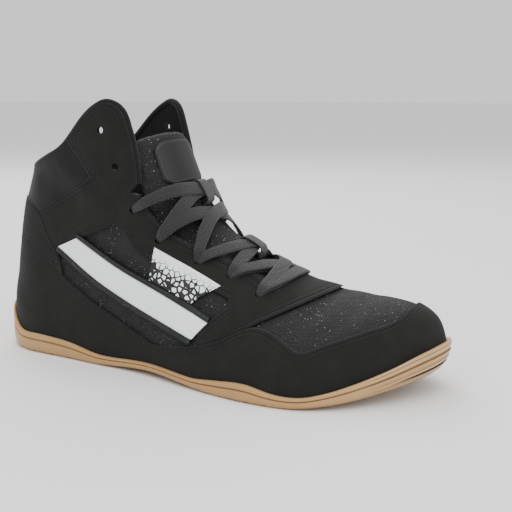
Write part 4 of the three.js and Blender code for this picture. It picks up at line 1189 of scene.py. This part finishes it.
class Tongue:
    """Padded tongue and the patch on it."""

    ALONG = 110
    ACROSS = 44
    THICK = 3.0

    def __init__(self, form: LastForm, lines: Lines) -> None:
        self.form = form
        self.lines = lines

    @staticmethod
    def front_line(at: np.ndarray) -> tuple[np.ndarray, np.ndarray, np.ndarray]:
        """Front line of the last: place in side view, outward direction and y."""
        at = np.asarray(at, float)

        def spot(place: np.ndarray) -> np.ndarray:
            return np.stack([TOE_TIP_X - LENGTH * smooth_column(SECTION_AT, SECTIONS[NEAR_X], place),
                             HEIGHT * smooth_column(SECTION_AT, SECTIONS[NEAR_Z], place)], -1)

        along = spot(at + .05) - spot(at - .05)
        along /= np.linalg.norm(along, axis=-1, keepdims=True)
        outward = np.stack([along[..., 1], -along[..., 0]], -1)
        return spot(at), outward, BALL_WIDTH * smooth_column(SECTION_AT, SECTIONS[RIDGE_Y], at)

    @classmethod
    def point(cls, at: np.ndarray, w: np.ndarray, lift: np.ndarray) -> np.ndarray:
        """Point over the tongue.

        Args:
            at: section of the last.
            w: share across it from -1 to 1.
            lift: height over its face.

        Returns:
            Points as rows of x, y, z.
        """
        at, w, lift = np.broadcast_arrays(np.asarray(at, float), np.asarray(w, float), np.asarray(lift, float))
        here, outward, y = cls.front_line(at)
        half = ANKLE_WIDTH * smooth_column(TONGUE[0], TONGUE[1], at)
        crown = ANKLE_WIDTH * smooth_column(TONGUE[0], TONGUE[2], at)
        slope = CROWN_POWER * crown * np.sign(w) * np.abs(w) ** (CROWN_POWER - 1) / half
        size = np.hypot(1, slope)
        depth = -smooth_column(TONGUE[0], TONGUE[3], at) - crown * np.abs(w) ** CROWN_POWER + lift / size
        return np.stack([here[..., 0] + outward[..., 0] * depth, y + w * half + lift * slope / size,
                         here[..., 1] + outward[..., 1] * depth], -1)

    def tucked(self, points: np.ndarray) -> np.ndarray:
        """Points pushed in under the wall where the upper covers them."""
        flat = points.reshape(-1, 3).copy()
        view = flat[:, [0, 2]]
        inside = inside_run(view, self.lines.opening)
        far, _ = run_place(view, self.lines.opening, True)
        inward = np.where(inside, far, -far)
        weight = 1 - ease_between(inward, .2, 3.5)
        for i in np.nonzero(weight > 0)[0]:
            _, normal, out = self.form.depth_under(flat[i])
            too_far = out + Upper.WALL + .5
            if too_far > 0:
                flat[i] -= normal * too_far * weight[i]
        return flat.reshape(points.shape)

    def build(self) -> None:
        """Makes the tongue and its patch."""
        at = np.linspace(TONGUE[0][0], TONGUE[0][-1], self.ALONG)[:, None]
        w = np.sin(np.linspace(-1, 1, self.ACROSS + 1) * math.pi / 2)[None, :]
        plump = np.maximum(1 - np.abs(w) ** 8, 0) ** .5 * rounding((TONGUE[0][-1] - at) / .5, 2)
        face = self.point(at, w, (plump - 1) * self.THICK / 2)
        rear = self.point(at, w, -self.THICK / 2 - plump * self.THICK / 2)
        points = np.concatenate([self.tucked(face), self.tucked(rear)[:, ::-1], self.tucked(face)[:, :1]], 1)
        item = grid_piece("padded_tongue", points)
        in_edit_mode(item, weld, close_holes, face_outwards)
        # second colour is the painted glint on the tongue's mesh
        finish_piece(item, Mesh("#08090a", "#9c9ea1", 1.8, .8).build("tongue_mesh"), "tongue", 60)
        self.build_patch()

    def build_patch(self) -> None:
        """Makes the rounded patch on the tongue, left bare."""
        low, high, wide, radius = 11.5, 13.75, 34.0, 7.0
        here, outward, y = self.front_line(np.array([low, (low + high) / 2, high]))
        long = float(np.linalg.norm(here[2] - here[0]))
        up = (here[2] - here[0]) / long
        middle = np.array([here[1][0], y[1] - 4, here[1][1]])
        up3, out3 = np.array([up[0], 0, up[1]]), np.array([outward[1][0], 0, outward[1][1]])
        across3 = np.cross(up3, out3)
        across3 /= np.linalg.norm(across3)
        corners = []
        for cx, cy, start in ((1, -1, -90), (1, 1, 0), (-1, 1, 90), (-1, -1, 180)):
            for turn in np.radians(np.linspace(start, start + 90, 9)):
                corners.append((cx * (wide / 2 - radius) + radius * math.cos(turn),
                                cy * (long / 2 - radius) + radius * math.sin(turn)))
        rim = np.array(corners)
        bpy.ops.mesh.primitive_circle_add(vertices=len(rim), radius=1, fill_type="NGON")
        block = bpy.context.active_object
        base = middle + rim[:, :1] * across3 + rim[:, 1:] * up3 - 30 * out3
        set_places(block, base)
        push = {"value": tuple(60 * MM * out3)}
        in_edit_mode(block, lambda: bpy.ops.mesh.extrude_region_move(TRANSFORM_OT_translate=push), face_outwards)
        at = np.linspace(low - .6, high + .3, 60)[:, None]
        w = np.linspace(-.8, .8, 60)[None, :]
        face, rear = self.point(at, w, 1.3), self.point(at, w, .2)
        item = grid_piece("tongue_patch", np.concatenate([face, rear[:, ::-1], face[:, :1]], 1))
        in_edit_mode(item, weld, close_holes, face_outwards)
        carve(item, block, keep_inside=True)
        spots = get_places(item) - middle
        flat = np.stack([spots @ across3, spots @ up3], 1)
        store(item, "edge_mm", run_place(flat, rim, True)[0])
        finish_piece(item, Badge().build("patch_rubber"), "tongue_label", 35)


class Lacing:
    """Flat lace through the eyelets and the webbing keepers over it."""

    WIDTH = 8.0
    THICK = 1.5
    LIFT = 3.3
    WEAVE = .75

    def __init__(self, form: LastForm, lines: Lines, upper: Upper) -> None:
        self.form = form
        self.lines = lines
        self.upper = upper
        self.places = [self.section_place(x, z) for x, z in lines.eyelets]

    @staticmethod
    def section_place(x: float, z: float) -> tuple[float, float]:
        """Section of the last and share along it at a point of the side view."""
        low, high = 1.0, float(LAST_SECTION)
        for _ in range(24):
            at = (low + high) / 2
            far, near = last_point(at, 0.0, Side.LATERAL), last_point(at, 1.0, Side.LATERAL)
            if (near[0] - far[0]) * (z - far[2]) - (near[2] - far[2]) * (x - far[0]) < 0:
                high = at
            else:
                low = at
        bottom, top = 0.0, 1.0
        for _ in range(24):
            share = (bottom + top) / 2
            if last_point(low, share, Side.LATERAL)[2] > z:
                top = share
            else:
                bottom = share
        return low, bottom

    @staticmethod
    def stop(at: float, w: float, lift: float) -> tuple[np.ndarray, np.ndarray]:
        """Place over the last and the direction square to it."""
        def point(place: float, across: float) -> np.ndarray:
            return last_point(place, 1 - abs(across), Side.LATERAL if across < 0 else Side.MEDIAL)

        along = point(at + .05, w) - point(at - .05, w)
        across = point(at, w + .02) - point(at, w - .02)
        normal = np.cross(across, along)
        normal /= np.linalg.norm(normal)
        return point(at, w) + normal * lift, normal

    def sweep(self, name: str, stops: list, widths: list[float], material: bpy.types.Material,
              thick: float) -> bpy.types.Object:
        """Flat band along stops.

        Args:
            name: name of the piece.
            stops: places and face directions.
            widths: width at each stop.
            material: its material.
            thick: thickness.

        Returns:
            The new object.
        """
        centre = smooth_run(np.array([s[0] for s in stops]), 6)
        faces = smooth_run(np.array([s[1] for s in stops]), 6)
        wide = smooth_run(np.array(widths)[:, None], 6)[:, 0]
        tangent = np.gradient(centre, axis=0)
        tangent /= np.linalg.norm(tangent, axis=1, keepdims=True)
        across = np.cross(tangent, faces)
        across /= np.linalg.norm(across, axis=1, keepdims=True)
        up = np.cross(across, tangent)
        turn = np.linspace(0, 2 * math.pi, 33)
        flat = np.sign(np.cos(turn)) * np.abs(np.cos(turn)) ** .55 / 2
        tall = np.sign(np.sin(turn)) * np.abs(np.sin(turn)) ** .6 / 2
        ring = (across[:, None] * (flat[None, :, None] * wide[:, None, None])
                + up[:, None] * (tall[None, :, None] * thick))
        points = centre[:, None] + ring
        item = grid_piece(name, points)
        length = np.concatenate([[0], np.cumsum(np.linalg.norm(np.diff(centre, axis=0), axis=1))])
        store(item, "along_mm", np.repeat(length, len(turn)))
        store(item, "across", np.tile(flat + .5, len(centre)))
        in_edit_mode(item, close_holes, face_outwards)
        finish_piece(item, material, None, 60)
        return item

    def strand(self, k: int, m: int, way: int, over: int, material: bpy.types.Material) -> bpy.types.Object:
        """Strand from eyelet row k on one side to row m on the other."""
        (at0, s0), (at1, s1) = self.places[k], self.places[m]
        stops, widths = [], []
        shares = np.concatenate([[.06], np.linspace(.12, .88, 11), [.94]])
        for share in shares:
            at = mix(at0, at1, share) - CROSSINGS[k] * 4 * share * (1 - share)
            w = way * mix(s0 - 1, 1 - s1, share)
            end = min(share, 1 - share)
            lift = self.LIFT + over * self.WEAVE * math.exp(-((share - .5) / .16) ** 2)
            lift += .5 * math.exp(-((end - .1) / .05) ** 2)
            stops.append(self.stop(at, w, lift))
            widths.append(self.WIDTH * mix(.72, 1, ease(end / .3)))
        ends = []
        for row, sign in ((k, -way), (m, way)):
            x, z = self.lines.eyelets[row]
            side = Side.MEDIAL if sign > 0 else Side.LATERAL
            place, normal = self.upper.surface(x, z, side)
            ends.append((place, normal))
        first = [(ends[0][0] - 4 * ends[0][1], ends[0][1]), (ends[0][0] + .2 * ends[0][1], ends[0][1])]
        final = [(ends[1][0] + .2 * ends[1][1], ends[1][1]), (ends[1][0] - 4 * ends[1][1], ends[1][1])]
        inward0 = stops[0][0] - ends[0][0]
        inward1 = stops[-1][0] - ends[1][0]
        first = [(p, self.lean(n, inward0)) for p, n in first]
        final = [(p, self.lean(n, inward1)) for p, n in final]
        name = f"lace_{k + 1}_{m + 1}_{'out' if way > 0 else 'in'}"
        return self.sweep(name, first + stops + final, [3.6, 3.8] + widths + [3.8, 3.6], material, self.THICK)

    @staticmethod
    def lean(normal: np.ndarray, inward: np.ndarray) -> np.ndarray:
        """Face direction of the lace inside a hole: away from the throat."""
        flat = inward - normal * np.dot(inward, normal)
        size = np.linalg.norm(flat)
        return -flat / size + normal * .25 if size > 1e-6 else normal

    def build(self) -> None:
        """Makes the lace and its keepers."""
        braid = Braid().build("braided_lace")
        last = len(EYELETS) - 1
        pieces = [self.strand(last, last, 1, 0, braid)]
        for k in range(FIRST_LACED, last):
            first = 1 if k % 2 == 0 else -1
            pieces.append(self.strand(k, k + 1, 1, first, braid))
            pieces.append(self.strand(k, k + 1, -1, -first, braid))
        for piece in pieces:
            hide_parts("lace")
        # second colour is the painted highlight on the webbing's raised threads
        webbing = Braid("#101112", "#3b3c3f", 1.1, 6).build("keeper_webbing")
        for name, row in (("lace_keeper_upper", 2), ("lace_keeper_lower", 4)):
            self.keeper(name, row, webbing)

    def keeper(self, node: str, row: int, webbing: bpy.types.Material) -> None:
        """Makes one webbing loop."""
        at = mix(self.places[row][0], self.places[row + 1][0], .5) - CROSSINGS[row]
        here = Tongue.front_line(np.array([at - .05, at + .05]))[0]
        per_mm = .1 / float(np.linalg.norm(here[1] - here[0]))
        stops = []
        for reach, rise in ((-7.6, 0), (-7.5, .4), (-6.9, .8), (-5.2, 1), (-2.6, 1.08), (0, 1.1), (2.6, 1.08),
                            (5.2, 1), (6.9, .8), (7.5, .4), (7.6, 0)):
            place = at + reach * per_mm
            low = Tongue.point(place, 0.0, .9).reshape(3)
            high, normal = self.stop(place, 0, self.LIFT + .9 + .6 + .6)
            lean = -reach / 7.6 * (1 - rise) if rise < 1 else 0
            before, after = Tongue.front_line(np.array([place - .05, place + .05]))[0]
            along = np.array([after[0] - before[0], 0, after[1] - before[1]])
            along /= np.linalg.norm(along)
            face = normal - along * lean * 1.5
            spot = mix(low, high, min(rise, 1)) + normal * max(rise - 1, 0) * 4
            stops.append((spot, face / np.linalg.norm(face)))
        item = self.sweep(node + "_webbing", stops, [9.0] * len(stops), webbing, 1.1)
        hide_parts(node)


class Studio:
    """Pale floor, soft lights and the camera."""

    TARGET = Vector((6.17, 5.59, 70.0)) * MM
    BACK = Vector((.4812, -.8610, .1650))
    DISTANCE = 550 * MM

    def build(self) -> None:
        """Makes the studio."""
        bpy.ops.mesh.primitive_plane_add(size=40)
        floor = bpy.context.active_object
        floor.name = "studio_floor"
        floor.data.materials.append(Plain("#f2f2f2", .9, 40, .01).build("matt_paper"))
        world = bpy.data.worlds.new("soft_room")
        bpy.context.scene.world = world
        world.use_nodes = True
        world.node_tree.nodes["Background"].inputs[0].default_value = (1, 1, 1, 1)
        world.node_tree.nodes["Background"].inputs[1].default_value = 1.0
        for name, place, size, power in (("key", (.3, -1.1, 1.5), 1.2, 15), ("fill", (1.3, -.5, .8), 1.2, 6),
                                         ("rim", (-.8, .9, 1.2), 1.0, 12), ("top", (0, 0, 1.8), 1.4, 8)):
            light = bpy.data.lights.new(name, "AREA")
            light.energy = power
            light.size = size
            lamp = bpy.data.objects.new(name, light)
            bpy.context.scene.collection.objects.link(lamp)
            lamp.location = place
            lamp.rotation_euler = (Vector((0, 0, .06)) - Vector(place)).to_track_quat("-Z", "Y").to_euler()
        lens = bpy.data.cameras.new("camera")
        lens.sensor_width = 36
        lens.lens = 36 * 922 / 512
        lens.shift_x = .0723
        lens.shift_y = -.0117
        lens.clip_start = .01
        camera = bpy.data.objects.new("camera", lens)
        bpy.context.scene.collection.objects.link(camera)
        camera.location = self.TARGET + self.BACK.normalized() * self.DISTANCE
        camera.rotation_euler = self.BACK.to_track_quat("Z", "Y").to_euler()
        bpy.context.scene.camera = camera


def main() -> None:
    """Builds the looks of the shoe."""
    logging.basicConfig(level=logging.INFO)
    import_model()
    lines = Lines()
    form = LastForm()
    upper = Upper(form, lines)
    upper.build()
    LOG.info("upper done")
    CollarRoll(form, lines, upper.cloth).build()
    Sole().build(form)
    LOG.info("sole done")
    Tongue(form, lines).build()
    Lacing(form, lines, upper).build()
    LOG.info("tongue and lace done")
    form.drop()
    Studio().build()


if __name__ == "__main__":
    main()
